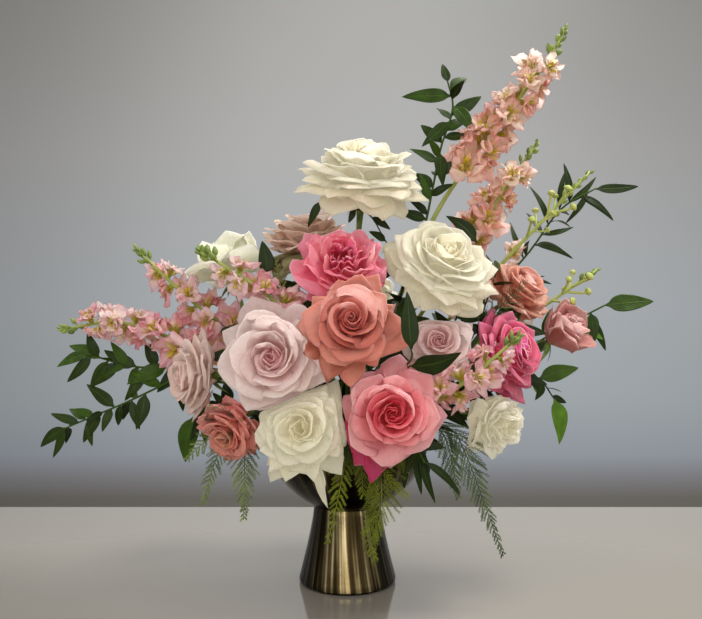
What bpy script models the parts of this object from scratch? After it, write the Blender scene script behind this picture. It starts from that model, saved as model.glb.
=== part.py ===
"""Floral table centrepiece: roses, stock, trailing greenery and fern, stood in wet foam in a footed bowl.

Run it with  blender --background --python part.py  or from Blender's text editor.
Lengths are in metres and +Z is up. The origin is on the table, under the middle of the foot.
Each rose, stem, spike, vine and fern is one closed solid. Neighbours are kept GAP apart.
"""
import math
import random

import bpy
from mathutils import Matrix, Vector
from mathutils.bvhtree import BVHTree

# ---------------------------------------------------------------- driving dimensions
GAP = 0.0003               # clearance where two pieces meet
BLADE = 0.0008             # thickness of a petal or a leaf

FOOT_RADIUS = 0.048        # the cone that the bowl stands on
NECK_RADIUS = 0.0325
BOWL_RADIUS = 0.082        # outside of the half-round bowl
BOWL_CENTRE = 0.1515       # height of the bowl's rim plane
METAL = 0.0013             # wall of the bowl and the foot
ROUND = 22                 # sides of the turned pieces
BOWL_ROWS = 6              # rows of facets from the bottom of the bowl to its rim

FOAM_TOP = 0.187           # crown of the foam above the rim
FOAM_MIDDLE = Vector((0, 0, 0.128))   # the stems fan out from here
SOCKET_DEPTH = 0.022       # how far a stem is pushed into the foam
STEM = 0.0026              # radius of a rose stem
SPIKE = 0.0029             # of a spike of stock at its foot
VINE = 0.0014              # of a leafy stem
STALK = 0.0017             # of the hole for a fern, whose rib is a flat strip
SLOPE = 0.42               # a stem leaves the foam at least this steeply, to clear the lip
SPACING = 0.24             # angle between neighbouring stems where they leave FOAM_MIDDLE
STEM_TURN = math.radians(137.5)       # leaves and petals follow the golden angle


# ---------------------------------------------------------------- small tools
def material(name, colour, roughness, metallic=0.0):
    made = bpy.data.materials.new(name)
    made.use_nodes = True
    shader = made.node_tree.nodes["Principled BSDF"]
    shader.inputs["Base Color"].default_value = (*colour, 1)
    shader.inputs["Roughness"].default_value = roughness
    shader.inputs["Metallic"].default_value = metallic
    made.diffuse_color = (*colour, 1)
    return made


def mesh_object(name, points, faces, finish=None):
    mesh = bpy.data.meshes.new(name)
    mesh.from_pydata([tuple(p) for p in points], [], faces)
    if finish:
        mesh.materials.append(finish)
    made = bpy.data.objects.new(name, mesh)
    bpy.context.scene.collection.objects.link(made)
    return made


def boolean(base, others, operation):
    """Applies one Boolean of a collection of objects to base, then removes those objects."""
    group = bpy.data.collections.new("operands")
    bpy.context.scene.collection.children.link(group)
    for other in others:
        group.objects.link(other)
    modifier = base.modifiers.new("boolean", "BOOLEAN")
    modifier.operation = operation
    modifier.operand_type = "COLLECTION"
    modifier.collection = group
    modifier.solver = "MANIFOLD"
    graph = bpy.context.evaluated_depsgraph_get()
    joined = bpy.data.meshes.new_from_object(base.evaluated_get(graph))
    base.modifiers.clear()
    base.data = joined
    for other in others:
        bpy.data.objects.remove(other)
    bpy.data.collections.remove(group)
    return base


def thicken(points, triangles, thickness):
    """A closed solid from a sheet of triangles: both faces are split alike, and a rim joins them."""
    normals = [Vector() for _ in points]
    for a, b, c in triangles:
        way = (points[b] - points[a]).cross(points[c] - points[a])
        for corner in (a, b, c):
            normals[corner] += way
    half = [n.normalized() * (thickness / 2) for n in normals]
    count = len(points)
    solid = [p + h for p, h in zip(points, half)] + [p - h for p, h in zip(points, half)]
    faces = list(triangles) + [(c + count, b + count, a + count) for a, b, c in triangles]
    edges = {(t[i], t[(i + 1) % 3]) for t in triangles for i in range(3)}
    for a, b in sorted(edges):
        if (b, a) not in edges:
            faces += [(b, a, a + count), (b, a + count, b + count)]
    return solid, faces


def tube(route, radii, sides):
    """Points and faces of a closed tube along a list of points, with one radius for each of them."""
    points, faces = [], []
    across = None
    for i, here in enumerate(route):
        ahead = (route[min(i + 1, len(route) - 1)] - route[max(i - 1, 0)]).normalized()
        if across is None:
            across = ahead.orthogonal().normalized()
        across = (across - ahead * across.dot(ahead)).normalized()
        beside = ahead.cross(across)
        for k in range(sides):
            angle = 2 * math.pi * k / sides
            points.append(here + (across * math.cos(angle) + beside * math.sin(angle)) * radii[i])
    for i in range(len(route) - 1):
        for k in range(sides):
            a, b = i * sides + k, i * sides + (k + 1) % sides
            faces += [(a, b, b + sides), (a, b + sides, a + sides)]
    last = (len(route) - 1) * sides
    faces.append(tuple(reversed(range(sides))))
    faces.append(tuple(range(last, last + sides)))
    return points, faces


def curve_through(points, steps):
    """A smooth curve through the given points, with this many steps in each span."""
    ends = [points[0] * 2 - points[1], *points, points[-1] * 2 - points[-2]]
    curve = []
    for i in range(len(points) - 1):
        a, b, c, d = ends[i:i + 4]
        for k in range(steps):
            t = k / steps
            curve.append((b * 2 + (c - a) * t + (a * 2 - b * 5 + c * 4 - d) * t * t
                          + (b * 3 - a - c * 3 + d) * t ** 3) / 2)
    return curve + [points[-1]]


def turned(name, profile, finish):
    """A solid of revolution about Z from a closed profile of (radius, height), listed clockwise."""
    points, faces = [], []
    rows = []
    for radius, height in profile:
        if radius == 0:
            rows.append([len(points)] * ROUND)
            points.append(Vector((0, 0, height)))
        else:
            rows.append(list(range(len(points), len(points) + ROUND)))
            for k in range(ROUND):
                angle = 2 * math.pi * k / ROUND
                points.append(Vector((radius * math.cos(angle), radius * math.sin(angle), height)))
    for low, high in zip(rows, rows[1:] + rows[:1]):
        for k in range(ROUND):
            ring = [low[k], low[(k + 1) % ROUND], high[(k + 1) % ROUND], high[k]]
            corners = list(dict.fromkeys(ring))
            if len(corners) > 2:
                faces.append(tuple(corners))
    made = mesh_object(name, points, faces, finish)
    made.data.shade_smooth()
    made.data.set_sharp_from_angle(angle=math.radians(30))
    return made


# ---------------------------------------------------------------- bowl, foot and foam
def sphere_depth(radius, reach):
    """How far below the rim plane a ball of this radius lies, at this distance from the axis."""
    return math.sqrt(max(radius * radius - reach * reach, 0))


def make_foot(finish):
    """A spun cone with a closed base. Its neck is bevelled to carry the round bottom of the bowl."""
    seat_outer = BOWL_CENTRE - sphere_depth(BOWL_RADIUS, NECK_RADIUS) - GAP
    neck_inside = NECK_RADIUS - METAL * 1.5
    seat_inner = BOWL_CENTRE - sphere_depth(BOWL_RADIUS, neck_inside) - GAP
    floor = 0.002
    edge = 0.0025
    return turned("foot", [
        (0, 0), (FOOT_RADIUS - edge, 0), (FOOT_RADIUS, edge), (FOOT_RADIUS - 0.0003, 0.005),
        (0.0395, 0.042), (NECK_RADIUS + 0.0012, seat_outer - 0.006), (NECK_RADIUS, seat_outer),
        (neck_inside, seat_inner), (0.0395 - METAL, 0.042), (FOOT_RADIUS - METAL * 2, floor + 0.003),
        (FOOT_RADIUS - METAL * 3, floor), (0, floor)], finish)


def make_bowl(finish):
    """A half-round bowl with a rolled lip."""
    inner = BOWL_RADIUS - METAL
    outside = [(0, BOWL_CENTRE - BOWL_RADIUS)]
    for k in range(1, BOWL_ROWS + 1):
        angle = math.pi / 2 * k / BOWL_ROWS
        outside.append((BOWL_RADIUS * math.sin(angle), BOWL_CENTRE - BOWL_RADIUS * math.cos(angle)))
    lip = [(BOWL_RADIUS + 0.0012, BOWL_CENTRE + 0.0012), (BOWL_RADIUS + 0.0006, BOWL_CENTRE + 0.0028),
           (BOWL_RADIUS - 0.0010, BOWL_CENTRE + 0.0028), (inner, BOWL_CENTRE)]
    inside = []
    for k in range(BOWL_ROWS - 1, 0, -1):
        angle = math.pi / 2 * k / BOWL_ROWS
        inside.append((inner * math.sin(angle), BOWL_CENTRE - inner * math.cos(angle)))
    return turned("bowl", outside + lip + inside + [(0, BOWL_CENTRE - inner)], finish)


def make_foam(finish, sockets):
    """Foam cut to the bowl and rounded above the rim, with one plain hole for each stem."""
    foam = turned("foam", foam_profile(), finish)
    cutters = []
    for number, (end, mouth, radius) in enumerate(sockets):
        way = (mouth - end).normalized()
        sides = {STALK: 4, VINE: 3, SPIKE: 4, STEM: 5}[radius]
        clear = radius + GAP / math.cos(math.pi / sides) * 1.1
        points, faces = tube([end - way * GAP, mouth + way * 0.012], [clear] * 2, sides)
        cutters.append(mesh_object(f"cutter_{number}", points, faces))
    return boolean(foam, cutters, "DIFFERENCE")


# ---------------------------------------------------------------- roses
def blend3(t, values):
    """A quadratic that is values[0] at 0, values[1] at a half and values[2] at 1."""
    first, middle, last = values
    return first * (1 - t) * (1 - 2 * t) + 4 * middle * t * (1 - t) + last * t * (2 * t - 1)


# Angles are from the bloom's axis, for the innermost, middle and outermost petals.
OPEN = dict(base=(25, 62, 84), mid=(10, 18, 42), tip=(-40, 40, 112), length=(0.62, 0.86, 1.10),
            point=0.5, wave=0.035)
SPIRAL = dict(OPEN, base=(18, 55, 82), mid=(8, 8, 40), tip=(-25, 45, 118), length=(0.80, 0.92, 1.10),
              point=1.0, wave=0.02)
CUPPED = dict(OPEN, base=(20, 70, 86), mid=(5, 5, 35), tip=(-30, 20, 95), length=(0.55, 0.88, 1.10),
              point=0.3)
QUARTERED = dict(OPEN, base=(20, 55, 80), mid=(10, 10, 40), tip=(-5, 25, 100), length=(0.75, 0.88, 1.08),
                 point=0.2, wave=0.06)
HALF_OPEN = dict(OPEN, base=(20, 50, 74), mid=(5, 0, 12), tip=(-20, 5, 48), length=(0.90, 1.08, 1.30),
                 point=0.5)

# name: form, middle of the bloom, way it faces, radius, petals
ROSES = {
    "white_top": (OPEN, (0.015, -0.030, 0.398), (0.08, -0.35, 0.93), 0.0627, 8),
    "white_right": (OPEN, (0.086, -0.060, 0.308), (0.50, -0.65, 0.57), 0.0582, 7),
    "hot_pink": (QUARTERED, (-0.005, -0.075, 0.306), (0.00, -0.80, 0.60), 0.0515, 7),
    "coral_front": (SPIRAL, (0.003, -0.140, 0.257), (0.03, -0.95, 0.30), 0.0515, 8),
    "blush_front": (CUPPED, (-0.063, -0.105, 0.228), (-0.15, -0.97, 0.10), 0.0560, 7),
    "salmon_front": (CUPPED, (0.038, -0.115, 0.180), (0.03, -0.96, 0.15), 0.0538, 8),
    "white_low": (OPEN, (-0.037, -0.102, 0.167), (-0.15, -0.95, 0.15), 0.0493, 7),
    "magenta_right": (SPIRAL, (0.147, -0.040, 0.225), (0.72, -0.60, 0.35), 0.0515, 7),
    "blush_right": (CUPPED, (0.084, -0.070, 0.240), (-0.10, -0.95, 0.20), 0.0381, 6),
    "coral_right": (SPIRAL, (0.170, 0.010, 0.283), (0.50, -0.50, 0.70), 0.0426, 6),
    "dusty_right": (HALF_OPEN, (0.214, 0.020, 0.242), (0.60, -0.45, 0.55), 0.0325, 6),
    "blush_left": (OPEN, (-0.139, -0.060, 0.207), (-0.85, -0.50, 0.00), 0.0437, 7),
    "coral_left": (SPIRAL, (-0.103, -0.075, 0.165), (-0.40, -0.75, -0.50), 0.0403, 6),
    "white_left": (HALF_OPEN, (-0.120, 0.030, 0.309), (-0.25, 0.35, 0.90), 0.0414, 6),
    "dusty_top": (OPEN, (-0.039, 0.020, 0.341), (-0.10, -0.10, 1.00), 0.0493, 7),
    "white_side": (QUARTERED, (0.138, -0.055, 0.165), (0.60, -0.75, -0.25), 0.0403, 6),
    "blush_back": (CUPPED, (-0.060, 0.105, 0.205), (-0.40, 0.88, 0.15), 0.0504, 6),
    "salmon_back": (OPEN, (0.075, 0.105, 0.215), (0.45, 0.85, 0.20), 0.0504, 6),
    "white_back": (QUARTERED, (0.010, 0.085, 0.285), (0.05, 0.80, 0.60), 0.0482, 6),
}
CORRIDORS = {              # pairs of blooms that are held apart, to let a stem through between them
    frozenset(("hot_pink", "blush_front")): 0.008,
    frozenset(("salmon_front", "blush_right")): 0.008,
    frozenset(("salmon_front", "white_low")): 0.006,
}
SEAT_BACK = 0.33           # the stem meets a bloom this far behind its middle, in radii
RISE = 0.07                # the outermost petals leave the calyx at this height, in radii
CORE = 0.24                # radius of the closed bud in the middle, in radii
COLUMN = math.radians(36)  # angle between the fold lines of the petals
CALYX = 0.0046             # radius of the flat where bloom and stem meet


def petal(form, level, radius, azimuth, phase, columns):
    """The middle sheet of one petal. level is 0 for the heart of the bloom and 1 for its outermost petal.

    Every petal of a bloom is split along the same COLUMN angles, so the petals lie parallel
    and their flat facets do not cut through each other.
    """
    base, middle, tip = (math.radians(blend3(level, form[k])) for k in ("base", "mid", "tip"))
    length = radius * blend3(level, form["length"]) * 0.84
    first = round(azimuth / COLUMN - columns / 2)
    steps = 12
    claw = (first + columns / 2) * COLUMN
    start = radius * (RISE + 0.26 * (1 - level))
    points = []
    for side in (-1, 1):
        points.append(Vector((math.cos(claw), math.sin(claw), 0)) * radius * CORE * 0.66
                      + Vector((-math.sin(claw), math.cos(claw), 0)) * side * radius * 0.03
                      + Vector((0, 0, start)))
    for v in (0.42, 1.0):
        for column in range(columns + 1):
            u = 2 * column / columns - 1
            share = v * (1 - (0.34 - 0.18 * form["point"]) * abs(u) ** 2 - 0.14 * form["point"] * abs(u))
            reach, height = radius * CORE * 0.86, start
            for k in range(steps):
                w = (k + 0.5) / steps * share
                lean = (1 - w) ** 2 * base + 2 * w * (1 - w) * middle + w * w * tip
                reach += math.sin(lean) * length * share / steps
                height += math.cos(lean) * length * share / steps
            ripple = form["wave"] * radius * v * v * math.sin(3.1 * u + phase)
            angle = (first + column) * COLUMN
            points.append(Vector(((reach + ripple) * math.cos(angle), (reach + ripple) * math.sin(angle),
                                  height - ripple * level)))
    half = (columns + 1) // 2
    triangles = [(0, 1, 2 + half)]
    for column in range(columns):
        low = 2 + column
        high = low + columns + 1
        triangles += [(0 if column < half else 1, low + 1, low)]
        triangles += [(low, low + 1, high + 1), (low, high + 1, high)]
    return points, triangles


def heart(form, radius, sides=5):
    """The closed bud at the middle of a rose, which its petals stand out of."""
    top = radius * blend3(0.12, form["length"]) * 0.90
    rings = [(CALYX, GAP), (radius * CORE, radius * RISE * 0.6), (radius * CORE, radius * 0.36),
             (radius * 0.09, top)]
    route = [Vector((0, 0, height)) for _, height in rings]
    return tube(route, [reach for reach, _ in rings], sides)


def place(points, seat, facing):
    """Turns points that stand on +Z to face the given way, from the given seat."""
    turn = facing.to_track_quat("Z", "Y").to_matrix().to_4x4()
    move = Matrix.Translation(seat) @ turn
    return [move @ p for p in points]


def seat_of(middle, facing, radius):
    return Vector(middle) - Vector(facing).normalized() * (SEAT_BACK * radius)


def make_rose(name, rose, route, colour, green, room):
    """A bloom and, GAP behind it, its green stem with five sepals."""
    form, middle, facing, radius, petals = rose
    facing = Vector(facing).normalized()
    seat = seat_of(middle, facing, radius)
    walls = walls_of(name)
    room.trees.pop("stem_" + name)

    points, faces = heart(form, radius)
    points = press(place(points, seat, facing), walls, 0.001)
    bloom = mesh_object("bloom_" + name, points, faces, colour)
    draw = random.Random(name)
    pieces = []
    for k in range(petals):
        level = 0.26 + 0.74 * k / (petals - 1)
        phase = draw.uniform(0, 2 * math.pi)
        for turn in (0, 0.63, -0.63, 1.26, -1.26, 1.89, -1.89, 2.5):
            columns = 4 if level < 0.45 else 3
            sheet, triangles = petal(form, level, radius, k * STEM_TURN + turn, phase, columns)
            sheet = press(place(sheet, seat, facing), walls, (1 - level) * 0.003)
            solid, faces = thicken(sheet, triangles, BLADE)
            if room.free("bloom_" + name, solid, faces):
                pieces.append(mesh_object(f"petal_{k}", solid, faces))
                break
        else:
            print("petal left out:", name, k)
    room.add_object(boolean(bloom, pieces, "UNION"))

    for droop in (0.65, 0.95, 0.35, 1.2, 0.1, 1.4):
        points, faces = rose_stem(route, facing, [droop] * 5)
        if room.free("stem_" + name, points, faces, ("foam", "bloom_" + name)):
            break
    else:
        print("stem crosses:", name)
    room.add_object(mesh_object("stem_" + name, points, faces, green))


def rose_stem(route, facing, droop, length=0.017):
    """A stem whose top ring carries five pointed sepals, one standing out of each of its sides."""
    top = route[-1]
    below = top - facing * 0.0034
    points, faces = tube([*route[:-1], below, top], [STEM] * (len(route) - 1) + [0.0032, CALYX], 5)
    low = len(points) - 10
    collar = [f for f in faces if len(f) == 3 and min(f) >= low]
    faces = [f for f in faces if f not in collar]
    for k in range(5):
        a, b = low + k, low + (k + 1) % 5
        c, d = b + 5, a + 5
        middle = (points[a] + points[b]) / 2
        out = middle - top
        out = (out - facing * out.dot(facing)).normalized()
        tip = top + out * length * math.cos(droop[k]) - facing * length * math.sin(droop[k])
        points.append(tip)
        last = len(points) - 1
        faces += [(a, b, last), (b, c, last), (c, d, last), (d, a, last)]
    return points, faces


def leaf(root, way, up, length, width, bend=0.25):
    """A pointed leaf: a thin blade, arched towards its tip."""
    way = way.normalized()
    side = way.cross(up).normalized()
    normal = side.cross(way).normalized()
    if width < 0.0125:
        spine = root + way * length * 0.4 - normal * length * bend * 0.2
        points = [root, spine + side * width / 2, spine - side * width / 2,
                  root + way * length - normal * length * bend]
        return thicken(points, [(0, 1, 2), (1, 3, 2)], BLADE)
    points = [root]
    for share, spread in ((0.24, 0.82), (0.62, 0.86)):
        spine = root + way * length * share - normal * length * bend * share * share
        points += [spine + side * width * spread / 2, spine - side * width * spread / 2]
    points.append(root + way * length * 0.98 - normal * length * bend)
    triangles = [(0, 1, 2), (1, 3, 4), (1, 4, 2), (3, 5, 4)]
    return thicken(points, triangles, BLADE)


def stem_route(end, mouth, seat, facing, steps=3):
    """Straight in the foam, then one bend to reach the seat from behind."""
    way = (mouth - end).normalized()
    start = mouth + way * 0.004
    gap = (seat - start).length
    first = start + way * gap * 0.40
    second = seat - facing * gap * 0.40
    curve = [end]
    for k in range(steps + 1):
        t = k / steps
        curve.append(start * (1 - t) ** 3 + first * 3 * t * (1 - t) ** 2
                     + second * 3 * t * t * (1 - t) + seat * t ** 3)
    return curve


# ---------------------------------------------------------------- spikes of stock
# name: points that the spike runs through above the foam, florets, radius of the lowest floret, buds
STOCKS = {
    "tall": ([(0.040, 0.020, 0.250), (0.087, 0.010, 0.362), (0.1355, 0.000, 0.4345),
              (0.2005, 0, 0.5195), (0.2175, 0, 0.5515)], 0.60, 11, 0.0190),
    "middle": ([(0.060, 0.030, 0.240), (0.1255, 0.020, 0.341), (0.194, 0.020, 0.4407)], 0.46, 8, 0.0190),
    "budding": ([(0.080, 0.045, 0.230), (0.1695, 0.035, 0.327), (0.253, 0.035, 0.4135)], 0.50, 3, 0.0130),
    "right": ([(0.090, 0.055, 0.205), (0.190, 0.050, 0.262), (0.2618, 0.040, 0.3115)], 0.55, 3, 0.0125),
    "left_high": ([(-0.060, 0.015, 0.215), (-0.1405, 0, 0.2675), (-0.2105, 0, 0.3295)], 0.40, 6, 0.0165),
    "left_low": ([(-0.080, 0.000, 0.195), (-0.1575, -0.010, 0.2345), (-0.225, -0.010, 0.257),
                  (-0.2825, -0.010, 0.250)], 0.38, 7, 0.0170),
    "front_left": ([(-0.035, -0.045, 0.215), (-0.060, -0.078, 0.272), (-0.132, -0.080, 0.3235)],
                   0.30, 7, 0.0175),
    "front_right": ([(0.055, -0.060, 0.190), (0.0900, -0.100, 0.198), (0.150, -0.102, 0.2460)],
                    0.26, 6, 0.0170),
}


def floret(root, way, radius, twist, lobes=3):
    """A ruffled floret: a funnel whose rim waves up and down."""
    way = way.normalized()
    across = way.orthogonal().normalized()
    beside = way.cross(across)
    points = [root, root + way * radius * 0.45]
    for k in range(lobes * 2):
        angle = twist + math.pi * k / lobes
        out = radius * (1.0 if k % 2 else 0.88)
        rise = radius * (0.38 if k % 2 else 0.86)
        points.append(root + (across * math.cos(angle) + beside * math.sin(angle)) * out + way * rise)
    count = lobes * 2
    faces = []
    for k in range(count):
        a, b = 2 + k, 2 + (k + 1) % count
        faces += [(0, b, a), (1, a, b)]
    return points, faces


def bud(root, way, length, sides=3):
    """A small bud on its short stalk."""
    way = way.normalized()
    across = way.orthogonal().normalized()
    beside = way.cross(across)
    points = [root]
    for k in range(sides):
        angle = 2 * math.pi * k / sides
        points.append(root + way * length * 0.62
                      + (across * math.cos(angle) + beside * math.sin(angle)) * length * 0.32)
    points.append(root + way * length)
    faces = []
    for k in range(sides):
        a, b = 1 + k, 1 + (k + 1) % sides
        faces += [(0, b, a), (sides + 1, a, b)]
    return points, faces


def along(curve, share):
    """Point and direction at this share of a curve's length."""
    lengths = [(b - a).length for a, b in zip(curve, curve[1:])]
    left = share * sum(lengths)
    for a, b, length in zip(curve, curve[1:], lengths):
        if left <= length:
            return a.lerp(b, left / length), (b - a).normalized()
        left -= length
    return curve[-1].copy(), (curve[-1] - curve[-2]).normalized()


def make_stock(name, stock, route, finish, room):
    """One spike: the stem, its florets in a spiral above the bare part, and the buds at its tip."""
    _, bare, florets, size = stock
    room.trees.pop("stock_" + name)
    radii = [SPIKE - 0.0014 * i / (len(route) - 1) for i in range(len(route))]
    solid, faces = tube(route, radii, 4)
    spike = mesh_object("stock_" + name, solid, faces, finish)
    draw = random.Random("stock " + name)
    pieces = []
    top = 0.91
    buds = 4
    for k in range(florets + buds):
        share = bare + (top - bare) * k / florets if k < florets else top + (1 - top) * (k - florets) / buds
        root, way = along(route, min(share, 0.995))
        across = way.orthogonal().normalized()
        size_here = size * (1 - 0.35 * k / florets) * draw.uniform(0.9, 1.08)
        angle = k * STEM_TURN + draw.uniform(-0.2, 0.2)
        twist = draw.uniform(0, 2)
        for turn in (0, 0.5, -0.5, 1.0, -1.0, 1.6, -1.6, 2.4, -2.4):
            side = across * math.cos(angle + turn) + way.cross(across) * math.sin(angle + turn)
            if k < florets:
                made = floret(root, side + way * 0.35, size_here, twist)
            else:
                made = bud(root, side * 0.8 + way, 0.0125 - 0.0040 * (k - florets) / buds)
            if room.free("stock_" + name, *made):
                pieces.append(mesh_object(f"floret_{k}", *made))
                break
        else:
            print("floret left out:", name, k)
    room.add_object(boolean(spike, pieces, "UNION"))


# ---------------------------------------------------------------- leafy vines
# name: branches, each a list of points; then leaves as (branch, share along it, direction, length, width)
VINES = {
    "top": ([[(0.052, 0.010, 0.280), (0.0745, -0.005, 0.345), (0.0845, -0.005, 0.3895),
              (0.0925, -0.005, 0.4295), (0.1045, -0.005, 0.4695), (0.0995, -0.005, 0.4975)]],
            [(0, 0.62, (-0.3, -0.3, 0.9), 0.026, 0.010), (0, 0.70, (0.7, -0.3, 0.4), 0.028, 0.012),
             (0, 0.74, (-0.8, -0.1, 0.5), 0.030, 0.010), (0, 0.80, (-0.5, 0.1, 0.6), 0.030, 0.013),
             (0, 0.84, (0.8, 0.1, 0.5), 0.028, 0.012), (0, 0.89, (0.75, -0.1, 0.55), 0.036, 0.014),
             (0, 0.95, (-0.95, -0.1, 0.1), 0.048, 0.015), (0, 0.97, (0.7, 0.2, 0.6), 0.026, 0.012),
             (0, 0.995, (-0.2, 0, 1.0), 0.020, 0.009)]),
    "left": ([[(-0.070, 0.020, 0.190), (-0.150, 0.015, 0.212), (-0.210, 0.005, 0.212), (-0.262, 0, 0.226)],
              [(-0.150, 0.015, 0.212), (-0.215, 0.000, 0.180), (-0.255, 0, 0.163), (-0.285, 0, 0.150)]],
             [(0, 0.50, (-0.5, -0.3, 0.8), 0.040, 0.016), (0, 0.62, (-0.8, -0.4, -0.3), 0.042, 0.017),
              (0, 0.76, (-0.8, -0.2, 0.5), 0.036, 0.014), (0, 0.84, (-0.8, -0.2, -0.6), 0.036, 0.014),
              (0, 0.93, (-0.9, 0, 0.4), 0.036, 0.013), (0, 0.99, (-0.9, -0.1, -0.3), 0.034, 0.012),
              (1, 0.40, (-0.2, -0.3, -0.9), 0.036, 0.014), (1, 0.62, (-0.7, 0, 0.6), 0.038, 0.013),
              (1, 0.72, (-0.5, -0.2, -0.8), 0.034, 0.012), (1, 0.97, (-0.8, 0, -0.5), 0.036, 0.012)]),
    "right": ([[(0.085, 0.070, 0.175), (0.170, 0.060, 0.215), (0.225, 0.045, 0.250), (0.268, 0.03, 0.275)],
               [(0.170, 0.060, 0.215), (0.200, 0.035, 0.197), (0.212, 0.020, 0.178)]],
              [(0, 0.72, (0.2, -0.1, 0.9), 0.030, 0.013), (0, 0.84, (0.4, -0.5, -0.6), 0.036, 0.015),
               (0, 0.90, (0.6, -0.2, -0.8), 0.042, 0.013), (0, 0.995, (0.95, -0.2, 0.15), 0.050, 0.019),
               (1, 0.60, (0.9, -0.1, 0.3), 0.044, 0.018), (1, 0.99, (0.15, -0.2, -0.9), 0.046, 0.019)]),
    "far_right": ([[(0.090, 0.060, 0.225), (0.185, 0.060, 0.320), (0.225, 0.050, 0.375),
                    (0.262, 0.045, 0.398)]],
                  [(0, 0.66, (-0.2, 0.1, 0.9), 0.034, 0.010), (0, 0.72, (0.8, -0.1, -0.2), 0.034, 0.010),
                   (0, 0.80, (-0.3, 0, 0.9), 0.036, 0.010), (0, 0.86, (0.2, 0, 0.9), 0.034, 0.010),
                   (0, 0.94, (0.8, 0, -0.4), 0.036, 0.010), (0, 0.995, (0.95, -0.1, 0.15), 0.048, 0.012)]),
    "front": ([[(0.034, -0.055, 0.200), (0.046, -0.088, 0.214), (0.055, -0.115, 0.222)]],
              [(0, 0.86, (0.05, -0.1, 0.9), 0.046, 0.013), (0, 0.98, (0.9, -0.2, 0.15), 0.044, 0.022)]),
    "low": ([[(0.045, -0.072, 0.168), (0.058, -0.088, 0.152), (0.068, -0.100, 0.136)]],
            [(0, 0.60, (-0.1, -0.1, -0.9), 0.034, 0.010), (0, 0.85, (0.3, -0.1, -0.9), 0.036, 0.010),
             (0, 0.98, (0.8, -0.1, -0.6), 0.038, 0.010)]),
    "top_left": ([[(-0.030, 0.000, 0.240), (-0.068, -0.020, 0.290), (-0.080, -0.022, 0.305)]],
                 [(0, 0.60, (0.6, 0.1, 0.9), 0.030, 0.012), (0, 0.98, (-0.1, -0.1, 0.95), 0.034, 0.016)]),
}


def make_vine(name, branches, leaves, route, finish, room):
    """A leafy stem that may fork. Its leaves are blades rooted in the stem."""
    room.trees.pop("vine_" + name)
    curves = [route[1:]] + [[Vector(p) for p in points] for points in branches[1:]]
    pieces = []
    for number, curve in enumerate([route] + curves[1:]):
        radii = [VINE - 0.0005 * i / (len(curve) - 1) for i in range(len(curve))]
        pieces.append(mesh_object(f"branch_{number}", *tube(curve, radii, 3)))
    vine = pieces.pop(0)
    vine.name = "vine_" + name
    vine.data.materials.append(finish)
    for k, (branch, share, way, length, width) in enumerate(leaves):
        root, _ = along(curves[branch], share)
        way = Vector(way)
        facing = Vector((0.15, -1.0, 0.35)) if abs(way.normalized().y) < 0.8 else Vector((0, 0, 1))
        for bend in (0.25, 0.0, 0.5, -0.25, 0.75):
            for turn in (0, 0.35, -0.35, 0.7, -0.7):
                aimed = Matrix.Rotation(turn, 3, facing) @ way
                made = leaf(root, aimed, facing, length, width, bend)
                if room.free("vine_" + name, *made):
                    break
            else:
                continue
            pieces.append(mesh_object(f"leaf_{k}", *made))
            break
        else:
            print("leaf left out:", name, k)
    room.add_object(boolean(vine, pieces, "UNION"))


# ---------------------------------------------------------------- fern
# name: fronds, each (points that its rib runs through, pinnae on each side, longest pinna, bare share)
FERNS = {
    "left": ([([(-0.078, -0.011, 0.160), (-0.106, -0.022, 0.158), (-0.121, -0.029, 0.138),
                (-0.130, -0.042, 0.112), (-0.135, -0.050, 0.087)], 7, 0.016, 0.34),
              ([(-0.078, -0.011, 0.160), (-0.094, -0.034, 0.157), (-0.096, -0.052, 0.138),
                (-0.094, -0.066, 0.108), (-0.095, -0.068, 0.077)], 8, 0.017, 0.34)]),
    "centre": ([([(0.000, -0.060, 0.170), (0.000, -0.084, 0.164), (-0.001, -0.094, 0.142),
                  (-0.008, -0.106, 0.105), (-0.017, -0.112, 0.068)], 9, 0.018, 0.34),
                ([(0.000, -0.060, 0.170), (0.010, -0.086, 0.162), (0.022, -0.094, 0.140),
                  (0.024, -0.104, 0.100), (0.021, -0.110, 0.060)], 9, 0.018, 0.34)]),
    "right": ([([(0.075, -0.040, 0.168), (0.095, -0.060, 0.160), (0.108, -0.072, 0.138),
                 (0.126, -0.074, 0.090), (0.142, -0.074, 0.046)], 11, 0.014, 0.36),
               ([(0.075, -0.040, 0.168), (0.086, -0.064, 0.158), (0.094, -0.076, 0.136),
                 (0.100, -0.080, 0.100)], 7, 0.017, 0.40)]),
    "top_left": ([([(-0.050, -0.010, 0.225), (-0.072, 0.000, 0.280), (-0.080, 0.004, 0.330)],
                   6, 0.016, 0.52)]),
}


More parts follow.
